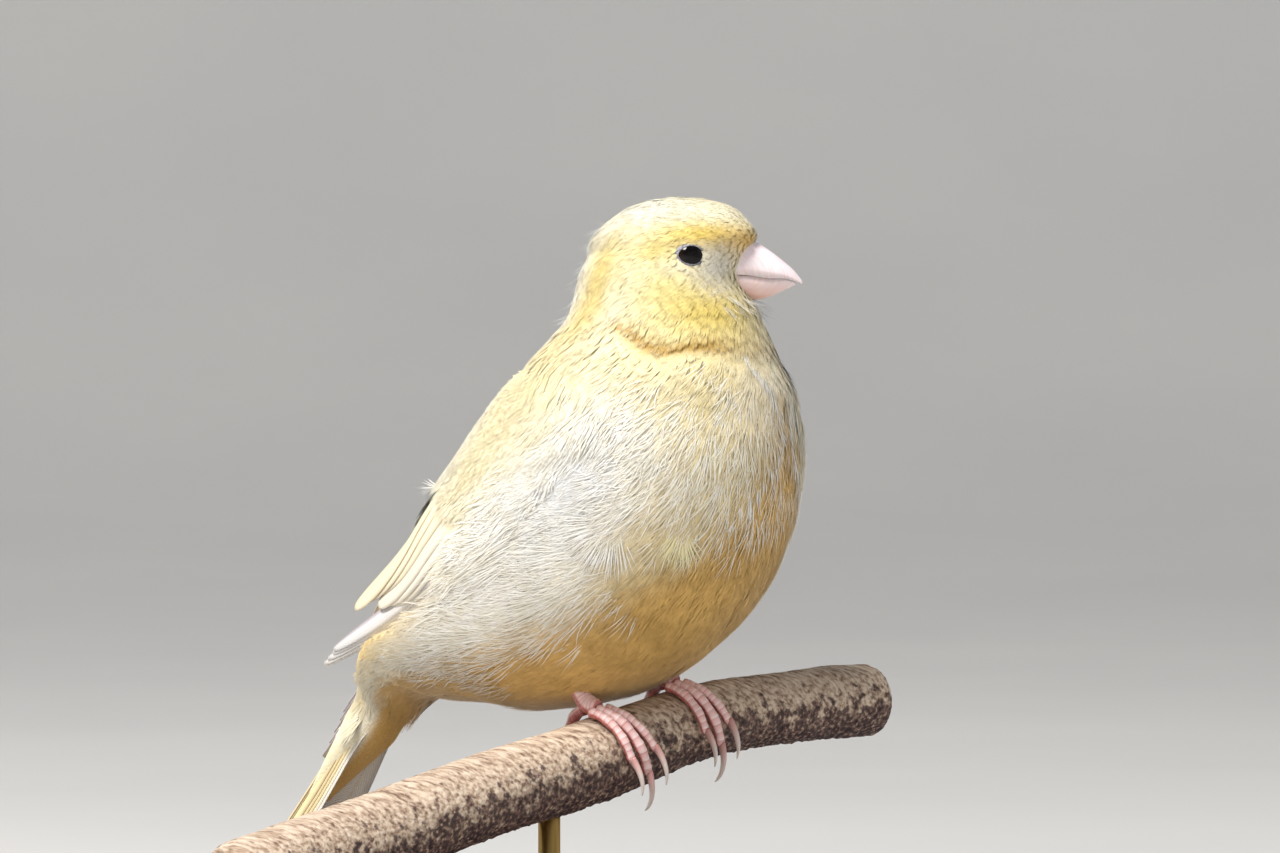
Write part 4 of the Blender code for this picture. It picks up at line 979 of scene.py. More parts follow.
# Feather groups, top layer first: how many, first and last root, first and last tip (along, across, as
# shares of the wing), first and last width, first and last height, where across it the shaft runs, where its
# tip starts to round, and its tone: 0 yellow, 0.5 cream, 1 cool white.
WING_GROUPS = (
    (9, ((0.14, 0.1), (0.11, 0.82)), ((0.43, 0.08), (0.37, 0.78)), (6.4, 5.0), (0.3, -0.7), 0.0, 0.7, 0.45),
    (3, ((0.32, 0.13), (0.3, 0.42)), ((0.87, 0.54), (0.79, 0.6)), (8.4, 7.0), (-0.3, -0.9), 0.1, 0.72, 0.45),
    (4, ((0.28, 0.55), (0.26, 0.8)), ((0.8, 0.74), (0.73, 0.86)), (5.2, 4.6), (-1.1, -1.9), 0.2, 0.84, 0.7),
    (4, ((0.08, 0.84), (0.06, 0.97)), ((0.38, 0.84), (0.32, 0.95)), (4.0, 3.2), (-1, -1.35), 0.2, 0.8, 0.9),
    (5, ((0.24, 0.8), (0.2, 0.96)), ((0.95, 0.86), (0.99, 0.98)), (3.5, 2.7), (-1.8, -2.9), 0.36, 0.76, 1.0),
)
VANE_THICKNESS, SHAFT_RISE, ROOT_SINK = 0.2, 0.14, 0.9
VANE_ROWS = (0.0, 0.06, 0.14, 0.24, 0.34, 0.44, 0.54, 0.64, 0.73, 0.81, 0.87, 0.92, 0.955, 0.98, 0.995)
# The wing's body: its lowest and highest reach, how far along it ends, and its rings and their points.
WING_CORE = (-2.9, -0.3)
CORE_END, CORE_RINGS, CORE_SIDES = 0.56, 16, 12


def wing_points(side, along, across, height):
    """Places on a folded wing's face, by shares along and across it and millimetres over it."""
    along, across, height = np.broadcast_arrays(*(np.asarray(v, float) for v in (along, across, height)))
    rows = WING_ROWS[side]

    def on_body(share, across, height):
        row = spline(rows, share / STRAIGHT_FROM * (len(rows) - 1))
        station = row[..., 0] + (row[..., 2] - row[..., 0]) * across
        angle = row[..., 1] + (row[..., 3] - row[..., 1]) * across
        return off_skin(station, side * angle, row[..., 4] + height)

    facing = unit(np.array(TIP_FACING[side]))
    tip = PERCH_POINT + np.array(WING_TIP[side])
    crosswise = unit(np.cross(facing, tip - on_body(STRAIGHT_FROM, TIP_ACROSS, 0.0))) * -side
    near = on_body(np.minimum(along, STRAIGHT_FROM), across, height)
    start = on_body(STRAIGHT_FROM, across, height)
    lead = (start - on_body(STRAIGHT_FROM - LEAD_STEP, across, height)) / LEAD_STEP
    rest = 1 - STRAIGHT_FROM
    end = tip + crosswise * ((across - TIP_ACROSS) * TIP_WIDTH)[..., None]
    end = end + facing * (height + TIP_FACE)[..., None]
    share = ((along - STRAIGHT_FROM) / rest)[..., None]
    bend = start + lead * rest * 0.3 + facing * TIP_BULGE[side]
    far = start + (bend - start) * share
    far = far + (bend + (end - bend) * share - far) * share
    return np.where((along <= STRAIGHT_FROM)[..., None], near, far)


def vane(bm, sheet, start, end, width, height, shaft, round_from, tone, camber=0.22):
    """One feather on a sheet of places: a thin cambered blade, round at its tip, with its shaft raised."""
    edges = np.array((-1.0, -0.55, shaft - 0.09, shaft, shaft + 0.09, 0.55, 1.0))
    if shaft > 0.45:
        edges[5] = (edges[4] + 1) / 2
    ridge = np.array((0, 0, 0.15, 1, 0.15, 0, 0))
    start, end = np.array(start), np.array(end)
    rings, marks = [], []
    for share in VANE_ROWS:
        along, across = start + (end - start) * share
        swell = min(1.0, 0.55 + 1.4 * share)
        tip = math.sqrt(max(0.0, 1 - max(0.0, (share - round_from) / (1.005 - round_from)) ** 2.4))
        pair = sheet(np.array((along, along)), np.array((across - 0.02, across + 0.02)), np.zeros(2))
        scale = np.linalg.norm(pair[1] - pair[0]) / 0.04
        half = 0.5 * width * swell * max(tip, 0.06) / scale
        top = height - ROOT_SINK * max(0.0, 1 - share / 0.08)
        tall = top + SHAFT_RISE * ridge * (1 - 0.7 * share) - camber * edges**2
        low = top - VANE_THICKNESS * (1 - 0.45 * edges**2) - camber * edges**2
        spread = across + edges * half
        upper = sheet(np.full(len(edges), along), spread, tall)
        lower = sheet(np.full(len(edges), along), spread, low)
        rings.append([*upper, *lower[::-1]])
        marks.append([(edge - shaft, share, tone) for edge in (*edges, *edges[::-1])])
    loft(bm, rings, marks)


def mark_parts(tree):
    """The marks that loft keeps on the points, whole and in their three parts."""
    lay = node(tree, "ShaderNodeAttribute", attribute_name="lay").outputs["Vector"]
    return lay, node(tree, "ShaderNodeSeparateXYZ", {"Vector": lay}).outputs


def reckon(tree, operation, *values):
    """A value reckoned from others."""
    return node(tree, "ShaderNodeMath", dict(enumerate(values)), operation=operation).outputs[0]


vane_silk, tree, shader = finish("silky_feather_vanes", {"Roughness": 0.5, "Sheen Weight": 0.15})
_, split = mark_parts(tree)
beside = reckon(tree, "ABSOLUTE", split["X"])
# Barbs leave the shaft slanting to the tip, so their lines run along a mix of both directions.
slant = reckon(tree, "MULTIPLY_ADD", beside, -0.10, split["Y"])
phase = reckon(tree, "MULTIPLY_ADD", cloudy(tree, object_place(tree), 260.0, 2.0), 0.02, slant)
ripple = reckon(tree, "SINE", reckon(tree, "MULTIPLY", phase, 520.0))
barb = reckon(tree, "MULTIPLY_ADD", ripple, 0.5, 0.5)
# Each vane is pale by its shaft and lavender-grey at its edges: painted shade where the feathers overlap.
blade_and_edge_shade_stops = ((0.0, "#EFE8D2"), (0.08, "#F8F6F0"), (0.6, "#F7F4EC"), (0.82, "#EDE8E4"), (1.0, "#C9C1C4"))
blade = ramp(tree, beside, *blade_and_edge_shade_stops)
grain = ramp(tree, barb, (0.0, "#D9D2C2"), (0.55, "#FFFFFF"))
tone = ramp(tree, split["Z"], (0.0, "#F0DA92"), (0.5, "#FBF4DE"), (1.0, "#F0F0F8"))
vane_colour = blend(tree, 1.0, blend(tree, 0.55, blade, grain), tone)
tree.links.new(vane_colour, shader.inputs["Base Color"])
roughen(tree, shader, barb, 0.5, 0.0001)


def between(pair, share):
    first, last = (np.asarray(value, float) for value in pair)
    return first + (last - first) * share


for side, side_name in SIDES:
    rng = np.random.default_rng(50 + side)
    sheet = partial(wing_points, side)
    bm = bmesh.new()
    rings = []
    for along in np.linspace(0.0, CORE_END, CORE_RINGS):
        share = along / CORE_END
        fat = min(1.0, math.sqrt(0.08 + share / 0.2)) * (1 - 0.55 * float(smooth_step(share, 0.7, 1.0)))
        low, high = WING_CORE
        middle = (low + high) / 2 - 0.7 * float(smooth_step(share, 0.5, 1.0))
        spread = np.linspace(-0.45, 0.45, CORE_SIDES)
        edge = np.sqrt(1 - (np.abs(spread) / 0.5) ** 4)
        across = 0.51 + spread * min(1.0, 0.62 + 2.6 * share)
        upper = sheet(along, across, middle + ((high - middle) * edge - 0.7 * across) * fat)
        lower = sheet(along, across, middle - (high - low) / 2 * edge * fat)
        rings.append([*upper, *lower[::-1]])
    loft(bm, rings, [[(0.5, 0.5, 0.4)] * 2 * CORE_SIDES] * CORE_RINGS)
    for count, roots, tips, widths, heights, shaft, round_from, tone in WING_GROUPS:
        for i in range(count):
            share = i / (count - 1)
            width = between(widths, share) * rng.uniform(0.96, 1.04)
            height = between(heights, share) + rng.uniform(-0.03, 0.03)
            root, tip = between(roots, share), between(tips, share)
            tip[0] += rng.uniform(-0.006, 0.006)
            tone_here = tone + rng.uniform(-0.08, 0.0)
            vane(bm, sheet, root, tip, width, height, shaft, round_from, tone_here, 0.15)
    wing = new_piece("wing_feathers_" + side_name, bm, vane_silk)
    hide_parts("wing_" + side_name)
    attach(wing, "root")


# The tail: twelve quills folded under the middle pair, its two sides sloping down like a roof. The middle of
# the tail makes the roof's round ridge, and each feather lies a step lower than the one before.
TAIL_ROOT = (-48.2, 6.7)
TAIL_PITCH, TAIL_SLOPE = math.radians(53), math.radians(50)
TAIL_LENGTH, TAIL_NOTCH, TAIL_GAP, TAIL_STEP = 48.0, 3.0, 0.5, 0.17
TAIL_RIDGE_RADIUS, TAIL_SIDE_WIDTH = 4.4, (7.6, 10.8)
TAIL_FEATHERS_A_SIDE, TAIL_FEATHER_WIDTH, TAIL_MIDDLE_WIDTH = 6, 7.2, 6.6
TAIL_ROUND_FROM, TAIL_CAMBER = 0.88, 0.08


def tail_points(along, across, height):
    """Places on the folded tail's face, by shares along it and across it, 1 at the left edge."""
    along, across, height = np.broadcast_arrays(*(np.asarray(v, float) for v in (along, across, height)))
    down = np.array((-math.cos(TAIL_PITCH), 0, -math.sin(TAIL_PITCH)))
    out = np.array((-math.sin(TAIL_PITCH), 0, math.cos(TAIL_PITCH)))
    at_root, at_tip = TAIL_SIDE_WIDTH
    reach = across * (at_root + (at_tip - at_root) * along)
    side = np.where(reach > 0, 1.0, -1.0)[..., None] * np.array((0, 1.0, 0))
    bend = TAIL_RIDGE_RADIUS * TAIL_SLOPE
    turn = np.minimum(np.abs(reach) / TAIL_RIDGE_RADIUS, TAIL_SLOPE)[..., None]
    straight = np.maximum(np.abs(reach) - bend, 0.0)[..., None]
    point = side * TAIL_RIDGE_RADIUS * np.sin(turn) - out * TAIL_RIDGE_RADIUS * (1 - np.cos(turn))
    point = point + (side * np.cos(turn) - out * np.sin(turn)) * straight
    normal = out * np.cos(turn) + side * np.sin(turn)
    root = PERCH_POINT + np.array((TAIL_ROOT[0], 0, TAIL_ROOT[1])) + down * TAIL_GAP
    return root + down * (TAIL_LENGTH * along)[..., None] + point + normal * height[..., None]


bm = bmesh.new()
for end, height in (((0.965, 0.05), 2 * TAIL_STEP), ((0.97, -0.05), TAIL_STEP)):
    shape = (TAIL_MIDDLE_WIDTH, height, 0.0, TAIL_ROUND_FROM, 0.22, TAIL_CAMBER)
    vane(bm, tail_points, (0.04, 0.0), end, *shape)
for side in (RIGHT, LEFT):
    for i in range(TAIL_FEATHERS_A_SIDE - 1):
        share = i / (TAIL_FEATHERS_A_SIDE - 2)
        start = (0.04, side * (0.26 + 0.34 * share))
        end = (1 - TAIL_NOTCH / TAIL_LENGTH * (1 - share), side * (0.22 + 0.42 * share))
        height = -TAIL_STEP * i - 0.06 * (side == LEFT)
        tone = 0.2 + 0.35 * (share > 0.6) + 0.3 * (share > 0.9)
        shape = (TAIL_FEATHER_WIDTH, height, side * 0.30 * share, TAIL_ROUND_FROM, tone, TAIL_CAMBER)
        vane(bm, tail_points, start, end, *shape)
tail = new_piece("tail_feathers", bm, vane_silk)
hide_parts("tail")
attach(tail, "root")


def sheet_tufts(sheet, along, across, height, colour, spots, seed, sway=6.0, **facts):
    """The arrays that barb_mesh reads, for soft feathers rooted in a wing's or the tail's face."""
    rng = np.random.default_rng(seed)
    step = 0.02
    here = sheet(along, across, height)
    ahead = sheet(along + step, across, height)
    behind = sheet(along - step, across, height)
    left = sheet(along, across + step, height)
    right = sheet(along, across - step, height)
    way = unit(ahead - behind)
    crosswise = unit(left - right)
    normal = unit(np.cross(way, crosswise))
    above = sheet(along, across, height + 0.5) - here
    normal = normal * np.sign((normal * above).sum(-1))[:, None]
    bends = []
    for far, near in ((ahead, behind), (left, right)):
        gap = np.linalg.norm(far - near, axis=-1) / 2
        bends.append(np.clip(-((far + near - 2 * here) * normal).sum(-1) / gap**2, -0.02, 0.12))
    turn = np.radians(rng.normal(0, sway, len(along)))[:, None]
    way = unit(way * np.cos(turn) + np.cross(normal, way) * np.sin(turn))
    made = {
        "root": here,
        "normal": normal,
        "way": way,
        "bends": np.stack(bends, -1),
        "colour": colour,
        "spot": spots,
    }
    for key, value in facts.items():
        made[key] = np.broadcast_to(np.asarray(value, float), len(along))
    return made


# Lesser and median coverts: the small soft feathers that hide the wing's bend and the roots of its quills.
# They stand lower at the wing's upper edge, and sink towards its lower one.
COVERT_TUFTS = 900
COVERT_LOW, COVERT_RISE, COVERT_FALL = 0.2, 0.8, 1.1
for side, side_name in SIDES:
    rng = np.random.default_rng(70 + side)
    across = rng.uniform(-0.06, 0.98, COVERT_TUFTS)
    along = rng.uniform(-0.05, 0.47 - 0.15 * across, COVERT_TUFTS)
    rows = WING_ROWS[side]
    row = spline(rows, np.clip(along, 0, STRAIGHT_FROM) / STRAIGHT_FROM * (len(rows) - 1))
    station = row[:, 0] + (row[:, 2] - row[:, 0]) * across
    angle = side * (row[:, 1] + (row[:, 3] - row[:, 1]) * across)
    height = COVERT_LOW + COVERT_RISE * smooth_step(across, -0.06, 0.2) - COVERT_FALL * np.maximum(across, 0)
    colour, spots = plumage_colours(station, angle), bake_spot(station, angle)
    shape = {"length": 6.5, "width": 3.0, "thick": 0.26, "depth": 0.9, "lift": 0.2, "fan": 1.0}
    sheet = partial(wing_points, side)
    coverts = sheet_tufts(sheet, along, across, height, colour, spots, 80 + side, **shape)
    made = barb_mesh("coat_coverts_" + side_name, coverts, 8, BARB_RINGS, silky_barbs, 90 + side)
    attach(made, "root")


# The bill: two smooth halves of pink horn that meet along the gape. The upper one has a small nostril on
# each side of its root. Rows: reach before the neck's axis, top, bottom, half width.
UPPER_BILL = (
    (10.4, 78.3, 72.75, 4.0),
    (12.6, 78.1, 72.75, 3.7),
    (14.6, 77.4, 72.5, 3.2),
    (16.6, 76.1, 72.25, 2.55),
    (18.4, 74.7, 72.3, 1.8),
    (20.0, 73.3, 71.95, 1.0),
    (21.3, 71.7, 71.3, 0.25),
)
LOWER_BILL = (
    (10.4, 72.4, 69.2, 3.7),
    (12.6, 72.4, 68.9, 3.4),
    (14.6, 72.15, 68.8, 2.9),
    (16.6, 71.9, 69.35, 2.2),
    (18.4, 71.95, 70.2, 1.4),
    (20.2, 71.5, 71.0, 0.5),
)
BILL_RINGS, BILL_SIDES, BILL_HOLLOW = 34, 15, 0.10
BILL_FOOT, BILL_HEIGHT, BILL_HALF_WIDTH, BILL_SPAN = 68.8, 9.4, 4, 6
NOSTRIL_AT, NOSTRIL_REACH, NOSTRIL_DEPTH = (13.9, 75.9), 0.7, 0.35
GAPE_CLOSE = 0.27


def stretched(tree, at, scale, turn=0.0):
    """Places drawn out along one direction, for the grain of horn or wood."""
    inputs = {"Vector": at, "Rotation": (0, 0, turn), "Scale": scale}
    return node(tree, "ShaderNodeMapping", inputs).outputs["Vector"]


bill_horn_shaded_below, tree, shader = finish(
    "pink_bill_horn",
    {
        "Roughness": 0.38,
        "Subsurface Weight": 0.25,
        "Subsurface Radius": (1.0, 0.4, 0.25),
        "Subsurface Scale": 0.0012,
    },
)
lay, split = mark_parts(tree)
fibre = cloudy(tree, stretched(tree, lay, (3.0, 14.0, 1.0)), 2.0, 4.0)
# The horn's colour by height: pale lilac-pink above, warm and darker low on the lower half as painted shade.
horn = ramp(tree, split["Z"], (0.0, "#E2AE98"), (0.2, "#F0D4CE"), (0.45, "#F7E8EA"), (1.0, "#F7F0F7"))
stain = ramp(tree, fibre, (0.3, "#F0E0DE"), (0.7, "#FFFFFF"))
tree.links.new(blend(tree, 0.6, horn, stain), shader.inputs["Base Color"])
roughen(tree, shader, fibre, 0.15, 0.0001)

for name, rows, keel in (("bill_upper", UPPER_BILL, 1), ("bill_lower", LOWER_BILL, -1)):
    bm = bmesh.new()
    rings, marks = [], []
    for spot in np.linspace(0, len(rows) - 1, BILL_RINGS):
        reach, top, bottom, wide = spline(rows, spot)
        bottom -= GAPE_CLOSE * (keel > 0)
        turn = np.linspace(0, math.pi, BILL_SIDES)
        across = wide * np.cos(turn)
        flat, far = (bottom, top) if keel > 0 else (top, bottom)
        outer = flat + (far - flat) * np.sin(turn) ** 0.85
        if keel > 0:
            away = ((reach - NOSTRIL_AT[0]) ** 2 + (outer - NOSTRIL_AT[1]) ** 2) / NOSTRIL_REACH**2
            across = across * (1 - NOSTRIL_DEPTH / wide * np.exp(-away * 2.5))
        ys = np.concatenate([across, wide * np.cos(turn[::-1][1:-1])])
        zs = np.concatenate([outer, flat + keel * BILL_HOLLOW * np.sin(turn[1:-1])])
        ring = np.stack([np.full(len(ys), NECK_AXIS_X + reach), ys, zs], -1)
        rings.append(PERCH_POINT + turned(ring))
        tall = np.clip((zs - BILL_FOOT) / BILL_HEIGHT + 0.03 * spot, 0, 1)
        marks.append([(spot / BILL_SPAN, y / BILL_HALF_WIDTH, t) for y, t in zip(ys, tall)])
    loft(bm, rings, marks)
    half = new_piece("horn_" + name, bm, bill_horn_shaded_below)
    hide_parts(name)
    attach(half, "root")


# The eyes: wet black-brown domes, each with a soft blue-grey lid drawn round it in an oval. The lid's
# section is its reach out from the opening's rim and its rise, and it soon flattens to the face's level.
EYE_RADIUS = 2.5
EYE_OPENING = (1.85, 1.40)
LID_SECTION = (
    (-0.05, -0.25),
    (0.0, 0.02),
    (0.06, 0.08),
    (0.14, 0.08),
    (0.24, 0.02),
    (0.5, 0.0),
    (0.9, -0.5),
)
LID_REACH, LID_LEVEL, FACE_CURVE = 0.45, 1.78, 24.0
LID_POINT, LID_BEAD, LID_STEPS = 0.10, 0.05, 56

wet_eye, tree, shader = finish(
    "wet_black_cornea",
    {"Roughness": 0.04, "IOR": 1.376, "Specular IOR Level": 0.4},
)
_, split = mark_parts(tree)
iris = ramp(tree, split["X"], (0.0, "#050303"), (0.5, "#070404"), (0.62, "#1C0E08"), (0.9, "#120906"))
tree.links.new(iris, shader.inputs["Base Color"])


def beady(tree, scale):
    """Small round cells, by the distance from their middles."""
    inputs = {"Vector": object_place(tree), "Scale": scale}
    return node(tree, "ShaderNodeTexVoronoi", inputs).outputs["Distance"]


lid_skin, tree, shader = finish("bare_lid_skin", {"Roughness": 0.55})
beads = beady(tree, 4200.0)
lid_colour = ramp(tree, beads, (0.0, "#B9BCC8"), (0.45, "#8A8B96"), (0.9, "#57535A"))
tree.links.new(lid_colour, shader.inputs["Base Color"])
roughen(tree, shader, beads, 0.6, 0.0001, invert=True)

for side, side_name in SIDES:
    centre, turn = eye_frame(side)
    bm = bmesh.new()
    layer = bm.verts.layers.float_vector.new("lay")
    bmesh.ops.create_uvsphere(bm, u_segments=48, v_segments=32, radius=EYE_RADIUS)
    for vert in bm.verts:
        vert[layer] = (math.hypot(vert.co.x, vert.co.y) / EYE_RADIUS, 0, 0)
    bmesh.ops.rotate(bm, verts=bm.verts, matrix=turn)
    bmesh.ops.translate(bm, vec=centre, verts=bm.verts)
    ball = new_piece("eyeball_" + side_name, bm, wet_eye)
    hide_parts("eye_" + side_name)
    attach(ball, "root")

    ahead = turn.inverted() @ Matrix.Rotation(HEAD_YAW, 3, "Z") @ Vector((1, 0, 0))
    heading = math.atan2(ahead.y, ahead.x)
    bm = bmesh.new()
    loops = []
    for around in np.arange(LID_STEPS) * math.tau / LID_STEPS:
        long, high = EYE_OPENING[0] * math.cos(around), EYE_OPENING[1] * math.sin(around)
        # The lids draw out to a small point before and behind the eye.
        inner = math.hypot(long, high) + LID_POINT * abs(math.cos(around)) ** 12
        way = math.atan2(high, long) + heading
        rim = math.sqrt(EYE_RADIUS**2 - inner**2)
        verts = []
        for reach, rise in LID_SECTION:
            spread = inner + reach
            level = LID_LEVEL - spread**2 / FACE_CURVE
            height = rim + (level - rim) * float(smooth_step(reach, 0, LID_REACH)) + rise
            height += LID_BEAD * noise.noise(Vector((math.cos(way), math.sin(way), reach)) * 9)
            local = Vector((spread * math.cos(way), spread * math.sin(way), height))
            verts.append(bm.verts.new(turn @ local + centre))
        loops.append([bm.edges.new((verts[k - 1], verts[k])) for k in range(len(verts))])
    for near, far in zip(loops, loops[1:] + loops[:1]):
        bmesh.ops.bridge_loops(bm, edges=near + far)
    lids = new_piece("lids_" + side_name, bm, lid_skin)
    soften(lids, 1)
    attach(lids, "root")


# The branch: a short cut length of weathered hardwood. Long grain runs along its pale top, and pits and dark
# scraps of bark cling to its lower side, which is darkened further as painted shade. Rows: distance from
# between the feet, height, radius.
BRANCH_HEADING = math.radians(72)
BRANCH = (
    (-79.0, -18.2, 7.1),
    (-66.0, -14.9, 6.9),
    (-52.0, -11.8, 6.8),
    (-39.0, -8.8, 6.8),
    (-27.0, -6.0, 6.7),
    (-16.0, -3.9, 6.7),
    (-8.0, -2.0, 6.8),
    (0.0, 0.0, 6.6),
    (9.0, 2.1, 6.3),
    (18.0, 3.5, 6.2),
    (29.0, 4.4, 6.0),
    (40.0, 5.0, 6.1),
    (50.0, 5.2, 6.2),
)
KNOTS = ((-44.0, 1.0, 0.10), (-60.0, 4.2, 0.08), (31.0, 2.2, 0.10), (42.0, 5.6, 0.07))
BRANCH_RINGS, BRANCH_SIDES = 240, 84


def branch_axis(along):
    """The branch's axis and radius at a distance from between the feet, in plan."""
    spots = [row[0] for row in BRANCH]
    i = min(max(int(np.searchsorted(spots, along)) - 1, 0), len(spots) - 2)
    _, height, radius = spline(BRANCH, i + (along - spots[i]) / (spots[i + 1] - spots[i]))
    heading = Vector((math.cos(BRANCH_HEADING), math.sin(BRANCH_HEADING), 0))
    return Vector(PERCH_POINT) + heading * along + UP * float(height), float(radius)


def branch_frame(along):
    """The axis point, the radius, and the directions that lead forward from the branch and up."""
    here, radius = branch_axis(along)
    tangent = (branch_axis(along + 0.5)[0] - branch_axis(along - 0.5)[0]).normalized()
    forward = tangent.cross(UP).normalized()
    return here, radius, forward, forward.cross(tangent)


def bark(along, angle):
    """The branch's slow unevenness, as a share of its radius."""
    ripple = 0.012 * math.sin(3 * angle + 0.11 * along) + 0.010 * math.sin(2 * angle - 0.07 * along + 1.0)
    knots = 0.0
    for at, turn, size in KNOTS:
        away = ((along - at) / 5.0) ** 2 + (2.0 * math.sin(0.5 * (angle - turn))) ** 2 * 2.5
        knots += size * math.exp(-away)
    return 0.978 + ripple + knots


def relief(along, angle):
    """The bark's fine relief in millimetres: long furrows all round, and pits and crumbs low down."""
    round_it = Vector((math.cos(angle) * 6.6, math.sin(angle) * 6.6, along * 0.16))
    furrow = noise.noise(round_it * 0.9)
    fine = noise.noise(Vector((round_it.x * 2.6, round_it.y * 2.6, along * 0.55)))
    low = max(0.0, 0.25 - 0.75 * math.cos(angle - 0.25))
    crumb = noise.noise(Vector((round_it.x * 1.3, round_it.y * 1.3, along * 1.3)))
    pit = noise.noise(Vector((round_it.x * 0.62, round_it.y * 0.62, along * 0.62 + 9.0)))
    return -0.10 - 0.16 * abs(furrow) + 0.10 * fine + low * (0.34 * crumb - 0.2) - 0.5 * max(0.0, pit - 0.28)


weathered_wood, tree, shader = finish("weathered_hardwood_branch", {"Roughness": 0.85})
at = object_place(tree)
# The first mark holds how low on the branch a place is: the lower, the more dark bark and painted shade.
_, split = mark_parts(tree)
grain = cloudy(tree, stretched(tree, at, (110.0, 1500.0, 1500.0), -BRANCH_HEADING), 1.0, 6.0)
wood = ramp(tree, grain, (0.30, "#6E5848"), (0.42, "#A48C78"), (0.56, "#CBB7A2"), (0.75, "#DFCFBD"))
bark_and_shade_blot = cloudy(tree, stretched(tree, at, (260.0, 620.0, 620.0), -BRANCH_HEADING), 1.0, 6.0)
bark_and_shade_blot = reckon(tree, "MULTIPLY_ADD", split["X"], 0.62, bark_and_shade_blot)
bark_and_shade_cover = ramp(tree, bark_and_shade_blot, (0.66, 0.0), (0.76, 0.9), (1.0, 1.0))
crust = cloudy(tree, at, 1400.0, 4.0)
bark_and_shade_colour = ramp(tree, crust, (0.35, "#241719"), (0.5, "#4A3434"), (0.62, "#8A7062"), (0.72, "#C9B39C"))
tree.links.new(blend(tree, bark_and_shade_cover, wood, bark_and_shade_colour, "MIX"), shader.inputs["Base Color"])
roughen(tree, shader, grain, 0.7, 0.0003)
roughen(tree, shader, crust, 0.5, 0.0004)

bm = bmesh.new()
first, last = BRANCH[0][0], BRANCH[-1][0]
rings, marks = [], []
for spot in np.linspace(first, last, BRANCH_RINGS):
    here, radius, forward, up = branch_frame(spot)
    worn = 1 - 0.07 * math.exp(-(((min(spot - first, last - spot)) / 0.5) ** 2))
    ring, mark = [], []
    for i in range(BRANCH_SIDES):
        angle = math.tau * i / BRANCH_SIDES
        fine = relief(spot, angle)
        reach = (radius * bark(spot, angle) + fine) * worn
        ring.append(here + (forward * math.sin(angle) + up * math.cos(angle)) * reach)
        mark.append((0.5 - 0.5 * math.cos(angle - 0.25), fine, spot))
    rings.append(ring)
    marks.append(mark)
loft(bm, rings, marks)
perch = new_piece("branch", bm, weathered_wood)
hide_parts("perch")
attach(perch, "root")


# The legs: slim scaly shanks and four toes each, three forward and one back, gripping the branch. Rows of
# overlapping scutes run down the front of each shank and the top of each toe. Toes: shift along the branch
# at root and tip, the angles over its crest where they start and end, thickness.
FOOT_ALONG = {RIGHT: -7.6, LEFT: 8.2}
TOES = (
    ("inner", 1.5, 4.6, 14, 88, 1.7),
    ("middle", 0.0, 2.6, 12, 112, 1.9),
    ("outer", -1.2, -0.4, 10, 92, 1.7),
    ("hind", 0.3, 0.9, -14, -84, 2.0),
)
TARSUS_TOP = {RIGHT: (-9.0, -9.5, 12.5), LEFT: (-7.5, 11.0, 12.5)}
TARSUS_RADIUS = 1.1
TOE_RINGS, TOE_SIDES, TOE_SCUTES, TOE_KNUCKLES = 64, 16, 11, 3
SHANK_RINGS, SHANK_SCUTES = 70, 12
GAP = 0.3


def over_branch(along, angle, ride):
    """A place at a height over the bark. Angle is 0 on the crest and 90 on the front."""
    here, radius, forward, up = branch_frame(along)
    turn = math.radians(angle)
    return here + (forward * math.sin(turn) + up * math.cos(turn)) * (radius + ride)


def limb(bm, points, radii, outs, scutes, sides):
    """A scaly limb: each scute swells to its far edge and drops, most on the side that faces out."""
    rings, marks = [], []
    last = len(points) - 1
    for i, here in enumerate(points):
        share = i / last
        tangent = (points[min(i + 1, last)] - points[max(i - 1, 0)]).normalized()
        out = (outs[i] - tangent * outs[i].dot(tangent)).normalized()
        other = tangent.cross(out)
        phase = share * scutes % 1.0
        ring, mark = [], []
        for j in range(sides):
            turn = math.tau * j / sides
            facing = max(0.0, math.cos(turn))
            scute = (0.075 * phase**2 - 0.02) * facing**0.5
            pad = 0.08 * max(0.0, -math.cos(turn)) * math.sin(math.pi * share * 3) ** 2
            skin_grain = 0.025 * noise.noise(Vector((math.cos(turn), math.sin(turn), share * 12)) * 2.2)
            reach = radii[i] * (1 + scute + pad + skin_grain)
            ring.append(here + (out * math.cos(turn) + other * math.sin(turn)) * reach)
            mark.append((facing, phase, share))
        rings.append(ring)
        marks.append(mark)
    loft(bm, rings, marks)


leg_skin, tree, shader = finish(
    "scaly_pink_leg_skin",
    {
        "Roughness": 0.42,
        "Subsurface Weight": 0.2,
        "Subsurface Radius": (1.0, 0.3, 0.2),
        "Subsurface Scale": 0.0008,
    },
)
_, split = mark_parts(tree)
scute_edge = ramp(tree, split["Y"], (0.0, "#C07C76"), (0.14, "#E3B4B0"), (0.8, "#EFD0CE"), (1.0, "#F6E4E4"))
under = beady(tree, 2600.0)
sole = ramp(tree, under, (0.0, "#D9908A"), (0.6, "#B0605A"))
front = {"Value": split["X"], "From Min": 0.05, "From Max": 0.45}
front = node(tree, "ShaderNodeMapRange", front).outputs[0]
tree.links.new(blend(tree, front, sole, scute_edge, "MIX"), shader.inputs["Base Color"])
roughen(tree, shader, under, 0.35, 0.0001)

